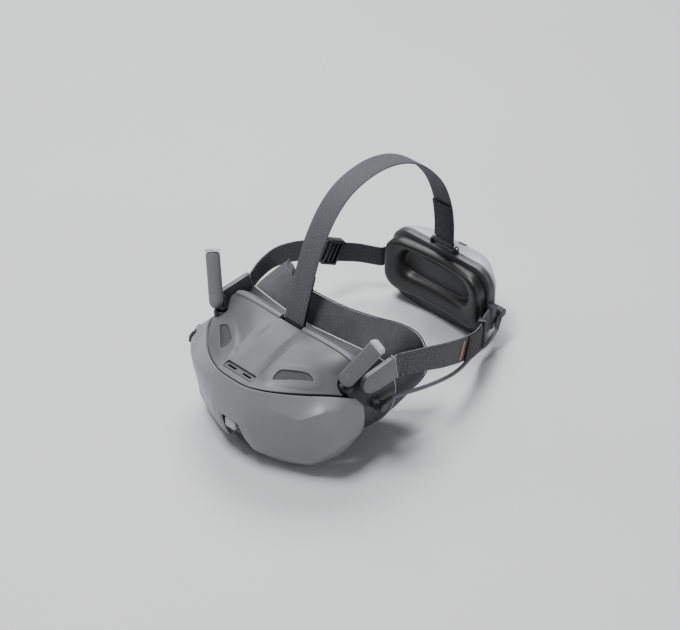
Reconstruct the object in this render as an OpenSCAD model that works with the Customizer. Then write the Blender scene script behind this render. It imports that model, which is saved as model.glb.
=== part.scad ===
// FPV goggles worn with a headband that carries its battery behind the head.
// X is across the face, Y runs from the visor to the battery, Z is up, and the table is at Z = 0.

/* [Goggles] */
// Width of the visor across the eyes
visor_w = 160; // [150:1:170]
// Depth from the visor's nose to the back of the battery box
overall_d = 284; // [278:1:290]
// Wall thickness of the moulded shells
wall = 2.2; // [1.6:0.1:2.6]
// Distance between the pupils at rest
eye_span = 64; // [62:0.5:66]
// Height of the eyes above the table
eye_z = 55; // [54:0.5:56]
// How far each display carriage slides either way
eye_travel = 3.5; // [1:0.5:4]

/* [Antennas] */
// Length of an antenna blade from its hinge
antenna_len = 47; // [44:1:52]
// Width of an antenna blade
antenna_w = 13.4; // [12:0.2:14]
// Thickness of an antenna blade
antenna_t = 6.4; // [5:0.2:7]

/* [Headband] */
// Height of the right elastic band
band_h = 22.5; // [18:0.5:24]
// Height of the left band and webbing
webbing_h = 19; // [16:0.5:21]
// Width of the strap over the head
strap_w = 19.5; // [16:0.5:22]
// Thickness of the bands and straps
strap_t = 2; // [1.5:0.1:2.5]

/* [Battery box] */
// Width of the battery box
box_w = 110; // [108:1:114]
// Height of the battery box
box_h = 72; // [70:1:74]
// Diameter of one cell
cell_d = 18.4; // [18:0.1:19]
// Length of one cell
cell_l = 65; // [65:0.5:70]

/* [Power lead] */
// Diameter of the lead
lead_d = 3.4; // [3:0.1:3.8]

/* [Hidden] */
$fn = 48;

// ---- curves and skins ----

function mirrored(p) = [-p.x, p.y, p.z];
// A right-hand half row becomes a whole row, from left to right.
function whole(row) = concat([for (i = [len(row) - 1 : -1 : 1]) mirrored(row[i])], row);
function wide(row) = [for (p = row) [p.x * visor_w / 160, p.y, p.z]];
function unit(v) = v / norm(v);
function curve_at(a, b, c, d, t) =
    0.5 * (2 * b + (c - a) * t + (2 * a - 5 * b + 4 * c - d) * t * t + (3 * b - a - 3 * c + d) * t * t * t);
// A smooth curve through the points, with n steps between one point and the next.
function smooth(pts, n) = let (last = len(pts) - 1) concat(
    [for (i = [0 : last - 1]) for (k = [0 : n - 1])
        curve_at(i == 0 ? 2 * pts[0] - pts[1] : pts[i - 1], pts[i], pts[i + 1],
                 i + 2 > last ? 2 * pts[last] - pts[last - 1] : pts[i + 2], k / n)],
    [pts[last]]);
function smooth_loop(pts, n) = let (m = len(pts))
    [for (i = [0 : m - 1]) for (k = [0 : n - 1])
        curve_at(pts[(i + m - 1) % m], pts[i], pts[(i + 1) % m], pts[(i + 2) % m], k / n)];
function flat(rows) = [for (r = rows) each r];
function tangent(pts, i) = unit(pts[min(i + 1, len(pts) - 1)] - pts[max(i - 1, 0)]);
// A grid seen from outside with its first row at the top and its columns from left to right.
function outward(g, r, c) = let (rr = len(g) - 1, cc = len(g[0]) - 1)
    unit(cross(g[r][min(c + 1, cc)] - g[r][max(c - 1, 0)], g[max(r - 1, 0)][c] - g[min(r + 1, rr)][c]));
function inset(g, d) = [for (r = [0 : len(g) - 1]) [for (c = [0 : len(g[0]) - 1]) g[r][c] - d * outward(g, r, c)]];

// A closed skin between an outer grid and an inner grid.
module shell(o, i) {
    rows = len(o);
    cols = len(o[0]);
    n = rows * cols;
    last = n - cols;
    faces = concat(
        [for (r = [0 : rows - 2]) for (c = [0 : cols - 2]) let (a = r * cols + c, e = a + cols)
            each [[a, a + 1, e + 1], [a, e + 1, e], [n + a, n + e + 1, n + a + 1], [n + a, n + e, n + e + 1]]],
        [for (c = [0 : cols - 2]) each [[c, n + c, n + c + 1], [c, n + c + 1, c + 1]]],
        [for (c = [last : last + cols - 2]) each [[c, n + c + 1, n + c], [c, c + 1, n + c + 1]]],
        [for (r = [0 : rows - 2]) let (a = r * cols, e = a + cols) each [[a, e, n + e], [a, n + e, n + a]]],
        [for (r = [0 : rows - 2]) let (a = r * cols + cols - 1, e = a + cols)
            each [[a, n + e, e], [a, n + a, n + e]]]);
    polyhedron(concat(flat(o), flat(i)), faces);
}

// A solid through rings of points, each ring anticlockwise when seen against the way of travel.
module loft(rings, closed = false) {
    count = len(rings);
    n = len(rings[0]);
    spans = closed ? count : count - 1;
    sides = [for (k = [0 : spans - 1]) for (i = [0 : n - 1])
        let (a = k * n + i, b = k * n + (i + 1) % n, up = ((k + 1) % count - k) * n)
            each [[a, a + up, b + up], [a, b + up, b]]];
    caps = closed ? [] : [[for (i = [0 : n - 1]) i], [for (i = [n - 1 : -1 : 0]) (count - 1) * n + i]];
    polyhedron(flat(rings), concat(sides, caps));
}

// A flat strap along a path, w high along the way up and t thick.
function strap_ring(p, t_dir, up, w, t) = let (e2 = unit(cross(t_dir, up)), e1 = cross(e2, t_dir))
    [p - w / 2 * e1 - t / 2 * e2, p + w / 2 * e1 - t / 2 * e2,
     p + w / 2 * e1 + t / 2 * e2, p - w / 2 * e1 + t / 2 * e2];
module strap(path, up, w, t, start = undef) {
    loft([for (i = [0 : len(path) - 1])
        strap_ring(path[i], i == 0 && !is_undef(start) ? start : tangent(path, i), up, w, t)]);
}

// A box with its corners rounded in plan, standing along Y from its front face.
module round_box(w, h, d, r) {
    rotate([90, 0, 0])
        translate([0, 0, -d])
            linear_extrude(d) {
                square([w - 2 * r, h], center = true);
                square([w, h - 2 * r], center = true);
                for (x = [-1, 1], z = [-1, 1])
                    translate([x * (w / 2 - r), z * (h / 2 - r)])
                        circle(r);
            }
}

// A rod from one point to another.
module rod(a, b, r1, r2) {
    v = b - a;
    translate(a)
        rotate([0, acos(v.z / norm(v)), atan2(v.y, v.x)])
            cylinder(h = norm(v), r1 = r1, r2 = r2);
}

// ---- shell outlines: right-hand half rows, from the centre outwards ----

seam_half = wide([
    [0, -137, 81], [6, -136.9, 81], [10, -136.7, 81], [14, -136.3, 81.1], [18, -135.7, 81.3], [30, -130.5, 81.5],
    [43, -121.5, 81], [56, -109, 79.3], [66, -97, 77], [73, -86.5, 73.5], [77.5, -77.2, 68.8]]);
brow_half = wide([
    [0, -141.3, 71], [6, -141.2, 71], [10, -141, 71], [14, -140.6, 71], [18, -140, 70.8], [31, -136, 69.5],
    [45, -129.5, 67.5], [59, -122, 65], [71, -108.5, 70.5], [76.5, -95, 70], [80.5, -72.5, 61]]);
cheek_half = wide([
    [0, -141.8, 60], [6, -141.7, 59], [10.5, -141.4, 56], [15, -140.9, 53], [19.5, -140, 51], [33, -137, 49],
    [47, -131.5, 48], [62, -123, 50], [77.5, -110.5, 54], [81, -94, 54], [81, -71.5, 51]]);
lower_half = wide([
    [0, -141.4, 51.5], [8, -141.2, 50.5], [12.5, -140, 43], [16, -138, 36], [20, -136.5, 32], [33, -131.5, 30.5],
    [47, -126, 30], [61, -119.5, 31], [76.5, -108, 34], [80.5, -92, 37], [81, -72.5, 40]]);
skirt_half = wide([
    [0, -140.8, 46.5], [8.6, -140.3, 45.6], [11.6, -138.6, 37], [13.6, -135.5, 27], [16.5, -130.5, 15], [31, -125, 13],
    [45, -119, 12], [60, -113, 14], [71, -100, 20], [77.5, -87, 28], [79.5, -74, 33]]);
hem_half = wide([
    [0, -139.6, 43], [8.4, -139.3, 42.5], [9.8, -137.3, 35], [11.2, -133.5, 23.5], [13.6, -126.5, 9], [29, -116, 2],
    [43, -107, 0], [56, -98, 2], [66, -88.5, 8.5], [72.5, -81.5, 18], [76, -75.5, 27]]);

ridge_half = wide([
    [0, -69, 96.3], [6, -69, 96.3], [10, -69, 96.3], [14, -69, 96.6], [20, -69, 96.8], [30, -68.5, 96.6],
    [40, -68, 96.2], [50, -67.5, 95.6], [60, -67, 93.8], [66, -66.8, 90.5], [70, -66.5, 85.5]]);
crown_half = wide([
    [0, -90, 92.5], [6, -90, 92.5], [10, -90, 92.7], [14, -89, 94], [19, -88, 95], [29, -84, 94.8],
    [39, -80, 93.5], [49, -77, 91.5], [58, -74, 89], [64.5, -72, 85], [69, -71, 80]]);
bowl_half = wide([
    [0, -110, 87.5], [6, -110, 87.5], [10, -110, 87.5], [14, -109, 88.3], [18, -108, 89.5], [28, -102, 90],
    [39, -95, 89], [49, -88, 87], [58, -81, 84.5], [65, -76, 81], [70, -73, 76]]);
lip_half = wide([
    [0, -127, 83.2], [6, -127, 83.2], [10, -126.8, 83.2], [14, -126, 83.5], [18, -124, 84.2], [28.5, -116, 85.8],
    [39.5, -107.5, 85.5], [51.5, -97.5, 83.5], [60.5, -88.5, 81], [67, -80.5, 78], [71.5, -75, 73]]);
tuck = 2.9;
front_half = [for (i = [0 : len(seam_half) - 1])
    let (t = tangent(seam_half, i), n = unit([-t.y, t.x, 0])) seam_half[i] + tuck * n + [0, 0, -0.1]];

visor_rows = smooth([for (r = [seam_half, brow_half, cheek_half, lower_half, skirt_half, hem_half])
    smooth(whole(r), 2)], 2);
top_rows = smooth([for (r = [ridge_half, crown_half, bowl_half, lip_half, front_half]) smooth(whole(r), 2)], 2);

// Rear rim of the face frame and back edge of the cushion, as half loops from the brow down to the nose.
rim_half = wide([
    [0, -57, 92.5], [30, -54, 92], [58, -47, 88], [71, -39, 80], [76.5, -34, 66], [77.5, -32, 48],
    [74, -34, 29], [64, -40, 14], [48, -47, 7], [32, -54, 7.5], [20, -60, 16], [13, -64, 30], [8, -67, 42],
    [0, -68, 47]]);
mouth_half = wide([
    [0, -77.5, 90], [30, -77.5, 89.5], [54.6, -77.5, 83.9], [64.2, -77.5, 73.3], [71.5, -77.5, 62], [75.5, -77.5, 48],
    [73, -77.5, 31], [62, -77.5, 17.5], [47, -77.5, 11], [32, -77.5, 11], [20, -77.5, 19.5], [13, -77.5, 32.5],
    [7.5, -77.5, 43.5], [0, -77.5, 48.5]]);
cushion_back_half = wide([
    [0, -43, 115], [28, -37.5, 111], [48, -26, 104.5], [62, -11.5, 96], [71.5, 1, 83.5], [75.5, 7, 66],
    [76, 9, 46], [69, 2, 28], [56, -10, 15], [40, -24, 10], [27, -38, 15], [19, -48, 27], [13, -54, 40],
    [0, -57, 48]]);
function whole_loop(half) = let (last = len(half) - 1)
    concat(half, [for (i = [last - 1 : -1 : 1]) mirrored(half[i])]);
function toward(p, c, d) = let (v = [c.x - p.x, 0, c.z - p.z]) p + d * v / norm(v);
face_centre = [0, 0, 58];

// ---- goggles ----

module front_visor() {
    color("#8d9094")
        difference() {
            shell(visor_rows, inset(visor_rows, wall));
            control_holes();
        }
}

// The dark cover shows through the notch over the nose and runs under it.
cover_rows = smooth([for (r = [
    [[0, -132.5, 52], [6, -132.4, 51.5], [11.5, -131.5, 49.5], [18, -130.5, 45]],
    [[0, -132.5, 38], [6, -132.2, 37.5], [11.5, -130, 35.5], [18, -127, 31.5]],
    [[0, -128, 20], [6, -127.5, 19.5], [11.5, -125.5, 17], [18, -121, 15]],
    [[0, -119, 6], [6, -118.6, 5.6], [11.5, -117, 4.5], [18, -112.5, 4.5]],
    [[0, -108, 3], [6, -108, 2.8], [11.5, -107.5, 2.6], [18, -104.5, 3]],
    [[0, -96, 9], [6, -96, 8], [11.5, -96, 5], [18, -95, 3.2]],
    [[0, -86, 29], [6, -86, 26], [12, -85, 17], [17.6, -84, 8]],
    [[0, -78.6, 47], [6.8, -78.6, 42.6], [12, -78.6, 31], [18.4, -78.6, 18.6]]
]) smooth(whole(r), 2)], 1);
module nose_cover() {
    color("#34363a")
        shell(cover_rows, inset(cover_rows, wall));
}

module nose_tab() {
    color("#b9bbbe")
        translate([-1.5, -137.6, 35.5])
            round_box(11, 9.5, 4.9, 1.5);
}

vent_x = 36;
vent_y = -104.5;
module vent_outline(grow) {
    polygon([[-15.5 - grow, -6.8 - grow], [17 + grow, -4 - grow], [13.5 + grow, 1.3 + grow],
             [8, 2.4 + grow], [-10 - grow, 2.8 + grow], [-14.3 - grow, -2.6]]);
}
module vent_cut(side, grow, low, high) {
    mirror([side < 0 ? 1 : 0, 0, 0])
        translate([vent_x, vent_y, low])
            rotate([0, 0, 38])
                linear_extrude(high - low)
                    vent_outline(grow);
}
module top_shell() {
    color("#6c6f74")
        difference() {
            shell(top_rows, inset(top_rows, wall));
            for (side = [-1, 1])
                vent_cut(side, 0, 70, 100);
            translate([0, -126.5, 80])
                cube([31, 7, 20], center = true);
            for (side = [-1, 1])
                translate([side * foot.x, foot.y, 60])
                    cylinder(h = 40, r = foot.z + 1.6);
        }
}

module vent_mesh(side) {
    color("#4c4f53")
        difference() {
            vent_cut(side, -0.4, 82.6, 83.8);
            mirror([side < 0 ? 1 : 0, 0, 0])
                translate([vent_x, vent_y, 80])
                    rotate([0, 0, 38])
                        for (u = [-12 : 3 : 12], v = [-2.2, 0.6])
                            translate([u, v, 0])
                                cylinder(h = 8, r = 0.9);
        }
}

module slot_plate() {
    color("#55585c")
        translate([0, -126.5, 0])
            difference() {
                translate([-15, -3, 80.2])
                    cube([30, 6, 2]);
                for (x = [-8, 8])
                    translate([x, 0, 0])
                        linear_extrude(100)
                            square([9, 2.4], center = true);
            }
}

trim_w = 124;
module rear_trim() {
    color("#7c7f84")
        difference() {
            translate([-trim_w / 2, -65.7, 90])
                rotate([90, 0, 90])
                    linear_extrude(trim_w)
                        polygon([[0, 2.6], [0, 6.2], [2.6, 6.6], [7.4, 4], [7.4, 2.6]]);
            translate([0, -63.6, 95])
                cube([23, 8, 14], center = true);
        }
}

module strap_bar() {
    color("#c4c6c8")
        translate([-11.4, -64.6, 93.6])
            rotate([0, 90, 0])
                cylinder(h = 22.8, r = 1.2);
}

bottom_rows = smooth([for (r = [
    [[19, -104, 3.2], [29, -106.5, 3.6], [43, -98.5, 3.2], [53, -92, 4.6], [61, -85.5, 9.5], [66.5, -80.5, 16]],
    [[19.6, -92, 3.4], [29, -93, 3.2], [42, -88, 3.4], [51, -84, 4.8], [59.5, -79.5, 9.6], [65.5, -77, 16]],
    [[19.2, -79, 15], [28, -79, 6.6], [42, -79, 5.6], [51, -78.6, 7], [59.5, -78.2, 11], [66, -78, 17]]
]) smooth(wide(r), 2)], 2);
module bottom_shell() {
    color("#3a3c40")
        difference() {
            union()
                for (side = [0, 1])
                    mirror([side, 0, 0])
                        shell(bottom_rows, inset(bottom_rows, wall));
            for (side = [-1, 1])
                hull()
                    for (x = [-1, 1])
                        translate([side * eye_span / 2 + x * (eye_travel + 0.5), knob_y, -5])
                            cylinder(h = 30, r = knob_r + 0.6, $fn = 32);
            for (side = [-1, 1], p = screw_spots)
                translate([side * p.x, p.y, -5])
                    cylinder(h = 30, r = screw_r + 0.2);
        }
}

rim_loop = smooth_loop(whole_loop(rim_half), 2);
mouth_loop = smooth_loop(whole_loop(mouth_half), 2);
module face_frame() {
    outer = concat(mouth_loop, rim_loop);
    inner = [for (p = outer) toward(p, face_centre, wall)];
    n = len(rim_loop);
    m = 2 * n;
    faces = [for (i = [0 : n - 1]) let (b = (i + 1) % n)
        each [[i, i + n, b + n], [i, b + n, b], [m + i, m + b + n, m + i + n], [m + i, m + b, m + b + n],
              [i, b, m + b], [i, m + b, m + i], [n + i, m + n + b, n + b], [n + i, m + n + i, m + n + b]]];
    color("#3f4246")
        difference() {
            polyhedron(concat(outer, inner), faces);
            translate([60, jack_y, jack_z])
                rotate([0, 90, 0])
                    cylinder(h = 30, r = 4.2);
        }
}

// Plate across the face frame that carries the rails and has an opening for each barrel.
barrel_r = 18;
plate_y = -70;
module optics_plate() {
    color("#2b2d30")
        difference() {
            translate([0, plate_y, 0])
                rotate([90, 0, 0])
                    linear_extrude(2)
                        polygon([[-60, 78], [-66, 66], [-67, 50], [-62, 30], [-50, 17], [-32, 15], [-20, 26],
                                 [-10, 50], [10, 50], [20, 26], [32, 15], [50, 17], [62, 30], [67, 50],
                                 [66, 66], [60, 78]]);
            for (side = [-1, 1])
                for (x = [-1, 1])
                    translate([side * eye_span / 2 + x * eye_travel, plate_y + 1, eye_z])
                        rotate([90, 0, 0])
                            cylinder(h = 4, r = barrel_r + 0.8);
            for (side = [-1, 1])
                translate([side * eye_span / 2, plate_y - 1, eye_z])
                    cube([2 * eye_travel, 6, 2 * (barrel_r + 0.8)], center = true);
        }
}

cushion_t = 13;
cushion_part = [1, 1, 1, 1, 1, 1, 1, 1, 0.85, 0.7, 0.5, 0.36, 0.3, 0.26];
module face_cushion() {
    rim = smooth_loop(whole_loop(rim_half), 1);
    back = smooth_loop(whole_loop(cushion_back_half), 1);
    gap = [0, 0.9, 0];
    color("#4a4c50")
        loft([for (i = [0 : len(rim) - 1])
            let (a = toward(rim[i], face_centre, 0.4) + gap, b = back[i], mid = (a + b) / 2,
                 last = len(cushion_part) - 1, t = cushion_t * cushion_part[i > last ? 2 * last - i : i])
                [a, toward(a, face_centre, 0.75 * t), toward(mid, face_centre, t),
                 toward(b, face_centre, 0.75 * t), b, toward(mid, face_centre, -1)]], closed = true);
}

carriage_front = -98;
module carriage(side) {
    color("#1f2123")
        translate([side * eye_span / 2, 0, eye_z])
            difference() {
                union() {
                    translate([0, -64, 0])
                        rotate([90, 0, 0])
                            cylinder(h = 28, r = barrel_r);
                    translate([0, carriage_front, 0])
                        round_box(40, 46, 8, 3);
                }
                translate([0, -60, 0])
                    rotate([90, 0, 0])
                        cylinder(h = 50, r = barrel_r - 2);
                for (z = [-20.5, 20.5])
                    translate([-30, carriage_front + 4, z])
                        rotate([0, 90, 0])
                            cylinder(h = 60, r = 1.55);
            }
}
module display(side) {
    color("#101114")
        translate([side * eye_span / 2, carriage_front - 2.2, eye_z])
            round_box(36, 36, 2, 1);
}
module lens(side) {
    color("#9fb2c2")
        translate([side * eye_span / 2, -70, eye_z])
            rotate([90, 0, 0])
                rotate_extrude()
                    polygon([[0, -2.6], [6, -2.2], [11, -1.2], [15.9, 0.6], [15.9, 4], [11, 5.6], [6, 6.6], [0, 7]]);
}
knob_r = 6.5;
knob_y = -85;
module focus_knob(side) {
    color("#26282b")
        translate([side * eye_span / 2, knob_y, 0.8])
            difference() {
                union() {
                    cylinder(h = 8, r = knob_r);
                    cylinder(h = eye_z - barrel_r - 1.2, r = 2);
                }
                for (a = [0 : 30 : 330])
                    rotate([0, 0, a])
                        translate([knob_r + 0.5, 0, -1])
                            cylinder(h = 7, r = 1);
            }
}
module carriage_rails() {
    color("#b8babd")
        for (z = [-20.5, 20.5])
            translate([-56, carriage_front + 4, eye_z + z])
                rotate([0, 90, 0])
                    cylinder(h = 112, r = 1.5);
}

module main_board() {
    color("#1f5c3c")
        translate([-45, -106, 33])
            cube([90, 1.6, 44]);
}
module heat_sink() {
    color("#9a9da1")
        translate([-20, -110.2, 36]) {
            translate([0, 2.6, 0])
                cube([40, 1.5, 36]);
            for (x = [0 : 4 : 38])
                translate([x, 0, 0])
                    cube([1.5, 2.6, 36]);
        }
}
fan_y = -113;
module fan_housing() {
    color("#2a2c2f")
        translate([0, fan_y, 56])
            rotate([90, 0, 0])
                difference() {
                    translate([-16, -16, 0])
                        cube([32, 32, 7]);
                    translate([0, 0, 1.2])
                        cylinder(h = 10, r = 14);
                    for (a = [0 : 45 : 315])
                        rotate([0, 0, a])
                            translate([9, 0, -1])
                                cylinder(h = 4, r = 1.8);
                    translate([0, 0, -1])
                        cylinder(h = 12, r = 1.06);
                }
}
module fan_rotor() {
    color("#45484c")
        translate([0, fan_y, 56])
            rotate([90, 0, 0]) {
                translate([0, 0, 2]) {
                    cylinder(h = 4.4, r = 5);
                    for (a = [0 : 40 : 320])
                        rotate([0, 0, a])
                            translate([4, -0.5, 0])
                                cube([9, 1, 4]);
                }
                translate([0, 0, 0.2])
                    cylinder(h = 3, r = 1);
            }
}

jack_y = -55;
jack_z = 51;
module power_jack() {
    color("#232527")
        translate([65, jack_y, jack_z])
            rotate([0, 90, 0])
                difference() {
                    cylinder(h = 12, r = 4);
                    translate([0, 0, 3])
                        cylinder(h = 10, r = 2.8);
                }
}

// ---- antennas ----

hinge = [71.7, -81.3, 89];
blade_dir = unit([20.8, 17.4, 38.2]);
blade_face = unit(cross([0.887, -0.06, -0.456], blade_dir));
blade_wide = cross(blade_dir, blade_face);
module in_blade_frame() {
    multmatrix([[blade_wide.x, -blade_face.x, blade_dir.x, hinge.x],
                [blade_wide.y, -blade_face.y, blade_dir.y, hinge.y],
                [blade_wide.z, -blade_face.z, blade_dir.z, hinge.z],
                [0, 0, 0, 1]])
        children();
}
module antenna(side) {
    half = antenna_t / 2;
    r = antenna_w / 2;
    color("#7a7d82")
        mirror([side < 0 ? 1 : 0, 0, 0])
            in_blade_frame()
                rotate([90, 0, 0])
                    translate([0, 0, -half])
                        difference() {
                            linear_extrude(antenna_t) {
                                circle(r);
                                polygon([[-r, 0], [r, 0], [r, antenna_len - 8], [r - 2, antenna_len - 5.5],
                                         [2 - r, antenna_len - 5.5], [-r, antenna_len - 8]]);
                            }
                            translate([0, 0, -1])
                                cylinder(h = antenna_t - 1, r = pin_r + 0.05);
                        }
}

// Fixed knuckle behind each blade, with its steel-cored pin, on a round foot through the top shell.
pin_r = 1.6;
foot = [68.5, -79.4, 6];
module antenna_pin(side) {
    color("#303236")
        mirror([side < 0 ? 1 : 0, 0, 0]) {
            in_blade_frame()
                rotate([-90, 0, 0]) {
                    translate([0, 0, antenna_t / 2 + 0.4]) {
                        cylinder(h = 3.6, r = 5.4);
                        translate([-4.6, 0, 0])
                            cube([9.2, 9, 3.6]);
                    }
                    translate([0, 0, antenna_t / 2 - 4])
                        cylinder(h = 5, r = pin_r);
                }
            translate([foot.x, foot.y, 75.5])
                cylinder(h = 5, r = foot.z);
        }
}

// ---- headband arms ----

arm_x = 77.4;
arm_t = 4;
module arm(side) {
    color("#808388")
        mirror([side < 0 ? 1 : 0, 0, 0])
            translate([arm_x, 0, 0])
                rotate([90, 0, 90])
                    linear_extrude(arm_t)
                        polygon([[-73.5, 82], [-71, 86.5], [-66, 88], [-38, 88.4], [-34.4, 66], [-56, 67],
                                 [-66, 69.5], [-72, 75]]);
}
module arm_rims() {
    color("#c9cbcd")
        for (side = [0, 1])
            mirror([side, 0, 0])
                translate([arm_x - 0.4, 0, 0])
                    rotate([90, 0, 90])
                        linear_extrude(arm_t + 0.8)
                            polygon([[-37.8, 88.8], [-36.6, 88.8], [-32.9, 65.6], [-34.1, 65.6]]);
}

// ---- controls on the visor's left shoulder ----

stick_at = [-72.5, -107, 67.5];
back_at = [-76, -99, 69];
control_dir = unit([-0.62, -0.42, 0.66]);
control_side = unit(cross(control_dir, [0, 0, 1]));
module facing(p) {
    up = cross(control_dir, control_side);
    multmatrix([[control_side.x, -up.x, control_dir.x, p.x],
                [control_side.y, -up.y, control_dir.y, p.y],
                [control_side.z, -up.z, control_dir.z, p.z],
                [0, 0, 0, 1]])
        children();
}
module control_holes() {
    facing(stick_at)
        translate([0, 0, -6])
            cylinder(h = 12, r = 5.5);
    facing(back_at)
        translate([0, 0, -6])
            cylinder(h = 12, r = 3.1);
}
module stick_gimbal() {
    color("#1b1c1e")
        facing(stick_at)
            translate([0, 0, -9.8])
                cylinder(h = 2.4, r = 4.2);
}
module stick_yoke() {
    color("#303236")
        facing(stick_at)
            for (turn = [0, 90])
                rotate([0, 0, turn])
                    translate([-2.4, 0, -6.2])
                        rotate([0, 90, 0])
                            cylinder(h = 4.8, r = 0.6);
}
module stick_cap() {
    color("#141517")
        facing(stick_at) {
            translate([0, 0, -1.4])
                cylinder(h = 3.4, r = 4);
            translate([0, 0, -5.5])
                cylinder(h = 5, r = 1.3);
        }
}
module back_button() {
    color("#8a8d91")
        facing(back_at)
            translate([0, 0, -3])
                cylinder(h = 3.8, r = 2.7);
}

screw_r = 1.5;
screw_spots = [[23, -98, 3.4], [50, -88, 4]];
module case_screws() {
    color("#6d7074")
        for (side = [-1, 1], p = screw_spots)
            translate([side * p.x, p.y, p.z])
                cylinder(h = 6, r = screw_r);
}

// ---- headband ----

band_path = smooth([[79.4, -34.2, 77.3], [82, -20, 73.6], [84.6, -4, 69.2], [85.6, 13, 62.5], [84.2, 29, 55.2],
                    [80.4, 50, 45.2], [74.4, 70, 36], [67.6, 86, 30.6], [61.4, 98, 29.9], [58.4, 107.5, 29.8]], 3);
left_path = smooth([[-79.4, -34.2, 77.6], [-84, -22, 78.4], [-87.4, -9, 78], [-90, 4, 76.2], [-91.4, 19, 71.8],
                    [-91.4, 37, 65], [-89.4, 57, 55.6], [-85, 76, 46.2], [-76, 92, 40.8], [-66.6, 99.6, 38.9],
                    [-60.2, 104, 38.2], [-58.5, 107.3, 38]], 3);
arm_end = [0, 0.987, 0.159];
adjuster_at = 20;
mark_at = 14;
mark_h = 16;
function slice(pts, a, b) = [for (i = [a : b]) pts[i]];
function shifted(pts, up, d) = [for (i = [0 : len(pts) - 1])
    pts[i] + d * unit(cross(tangent(pts, i), up))];
up_z = [0, 0, 1];
up_x = [1, 0, 0];

module band_right() {
    color("#45474b")
        strap(band_path, up_z, band_h, strap_t, start = arm_end);
}
module band_mark() {
    color("#e07a52")
        strap(shifted(slice(smooth(slice(band_path, mark_at - 1, mark_at + 1), 6), 5, 7), up_z, 1.45),
              up_z, mark_h, 0.7);
}
module band_right_tail() {
    color("#303236")
        strap(shifted(slice(band_path, mark_at + 1, 20), up_z, 2.1), up_z, band_h - 1, 1.6);
}
module strap_buckle(path, at, h, len, deep) {
    p = path[at];
    d = tangent(path, at);
    side = unit(cross(d, up_z));
    up = cross(side, d);
    color("#1c1d1f")
        multmatrix([[d.x, side.x, up.x, p.x], [d.y, side.y, up.y, p.y], [d.z, side.z, up.z, p.z], [0, 0, 0, 1]])
            difference() {
                cube([len, deep, h + 4.6], center = true);
                cube([len + 2, strap_t + 2, h + 1], center = true);
                translate([0, deep / 2, 0])
                    cube([len - 4, deep, h - 4], center = true);
            }
}
module triglide() {
    strap_buckle(band_path, 22, band_h, 6, 6.2);
}
module adjuster() {
    strap_buckle(left_path, adjuster_at, webbing_h, 16, 7);
}
module band_left() {
    color("#3c3e42")
        strap(slice(left_path, 0, adjuster_at), up_z, webbing_h, strap_t, start = arm_end);
}
module webbing_left() {
    color("#2b2c2f")
        strap(concat([left_path[adjuster_at] + 0.8 * tangent(left_path, adjuster_at)],
                     slice(left_path, adjuster_at + 1, len(left_path) - 1)), up_z, webbing_h, strap_t - 0.2);
}

over_path = smooth([[0, -65.6, 96.4], [0, -60, 114], [0, -52, 137], [0, -42, 160], [0, -28, 180],
                    [0, -12, 192.6], [0, 6, 198.2], [0, 28, 199], [0, 50, 193.6], [0, 69, 183.2], [0, 87, 167],
                    [0, 102.5, 146], [0, 112.5, 121], [0, 116.4, 98], [0, 117, 78.6]], 2);
module top_strap() {
    color("#55575b")
        strap(over_path, up_x, strap_w, strap_t);
}
module strap_tail_front() {
    color("#3a3c3f")
        strap(smooth([[0, -61.6, 98], [0, -58.4, 107], [0, -55.9, 118], [0, -52.7, 128.5], [0, -50.1, 136.2]], 2),
              up_x, strap_w - 1, 1.6);
}
module strap_tail_rear() {
    color("#3a3c3f")
        strap(shifted(slice(over_path, 24, 27), up_x, 2.1), up_x, strap_w - 0.4, 1.6);
}

// ---- battery box ----

back_y = overall_d / 2;
box_z = box_h / 2;
frame_y = 112;
cover_y = 118.8;
module battery_frame() {
    color("#2c2e31") {
        difference() {
            translate([0, frame_y, box_z])
                round_box(box_w - 1, box_h - 1, cover_y - frame_y - 0.3, 17);
            translate([0, frame_y + 2.5, box_z])
                round_box(box_w - 7, box_h - 7, 8, 14);
        }
        for (side = [-1, 1])
            translate([side * (box_w / 2 + 1.5), frame_y - 1, side > 0 ? 29.8 : 38])
                cube([7, 6, 24], center = true);
        translate([0, frame_y - 1.6, (opening_z[0] + opening_z[1]) / 2])
            round_box(74, opening_z[1] - opening_z[0] - 2, 1.8, 8);
    }
}
// One rounded ring of the crowned cover: half width, half height, corner radius and distance along Y.
function box_ring(w, h, r, y) = [for (q = [0 : 3]) for (k = [0 : 5])
    let (a = 90 * q + 18 * k, sx = q == 0 || q == 3 ? 1 : -1, sz = q < 2 ? 1 : -1)
        [-sx * (w - r) - r * cos(a), y, box_z + sz * (h - r) + r * sin(a)]];
module battery_cover() {
    half_w = box_w / 2;
    color("#c3c5c8")
        difference() {
            loft([for (c = [[0, 0, 18, 0], [2.5, 0, 18, 4.2], [7, 0.6, 17, 8.2], [12, 2.4, 17, 13.2],
                            [17, 6, 16, 18.2], [19.5, 9.5, 15, 21.2], [23, 15, 13, back_y - cover_y]])
                box_ring(half_w - c[0], box_z - c[1], c[2], cover_y + c[3])]);
            loft([for (c = [[2.4, 2.2, 16, -1], [5.2, 2.4, 16, 4.2], [9.6, 3.2, 15, 8.2], [14.6, 5, 15, 13.2],
                            [19.6, 8.6, 14, 18.2], [21.9, 12, 13, back_y - cover_y - wall]])
                box_ring(half_w - c[0], box_z - c[1], c[2], cover_y + c[3])]);
            on_crown()
                translate([0, 0, -8])
                    cylinder(h = 16, r = button_r + 0.3);
            translate([plug_x - 9, socket_y, socket_z])
                rotate([0, 90, 0])
                    cylinder(h = 12, r = 4.3);
        }
}
cell_y = 129.9;
module battery_cells() {
    color("#3f6fa8")
        for (z = [25.5, 46.5])
            translate([-cell_l / 2, cell_y, z])
                rotate([0, 90, 0])
                    cylinder(h = cell_l, r = cell_d / 2);
}
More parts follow.
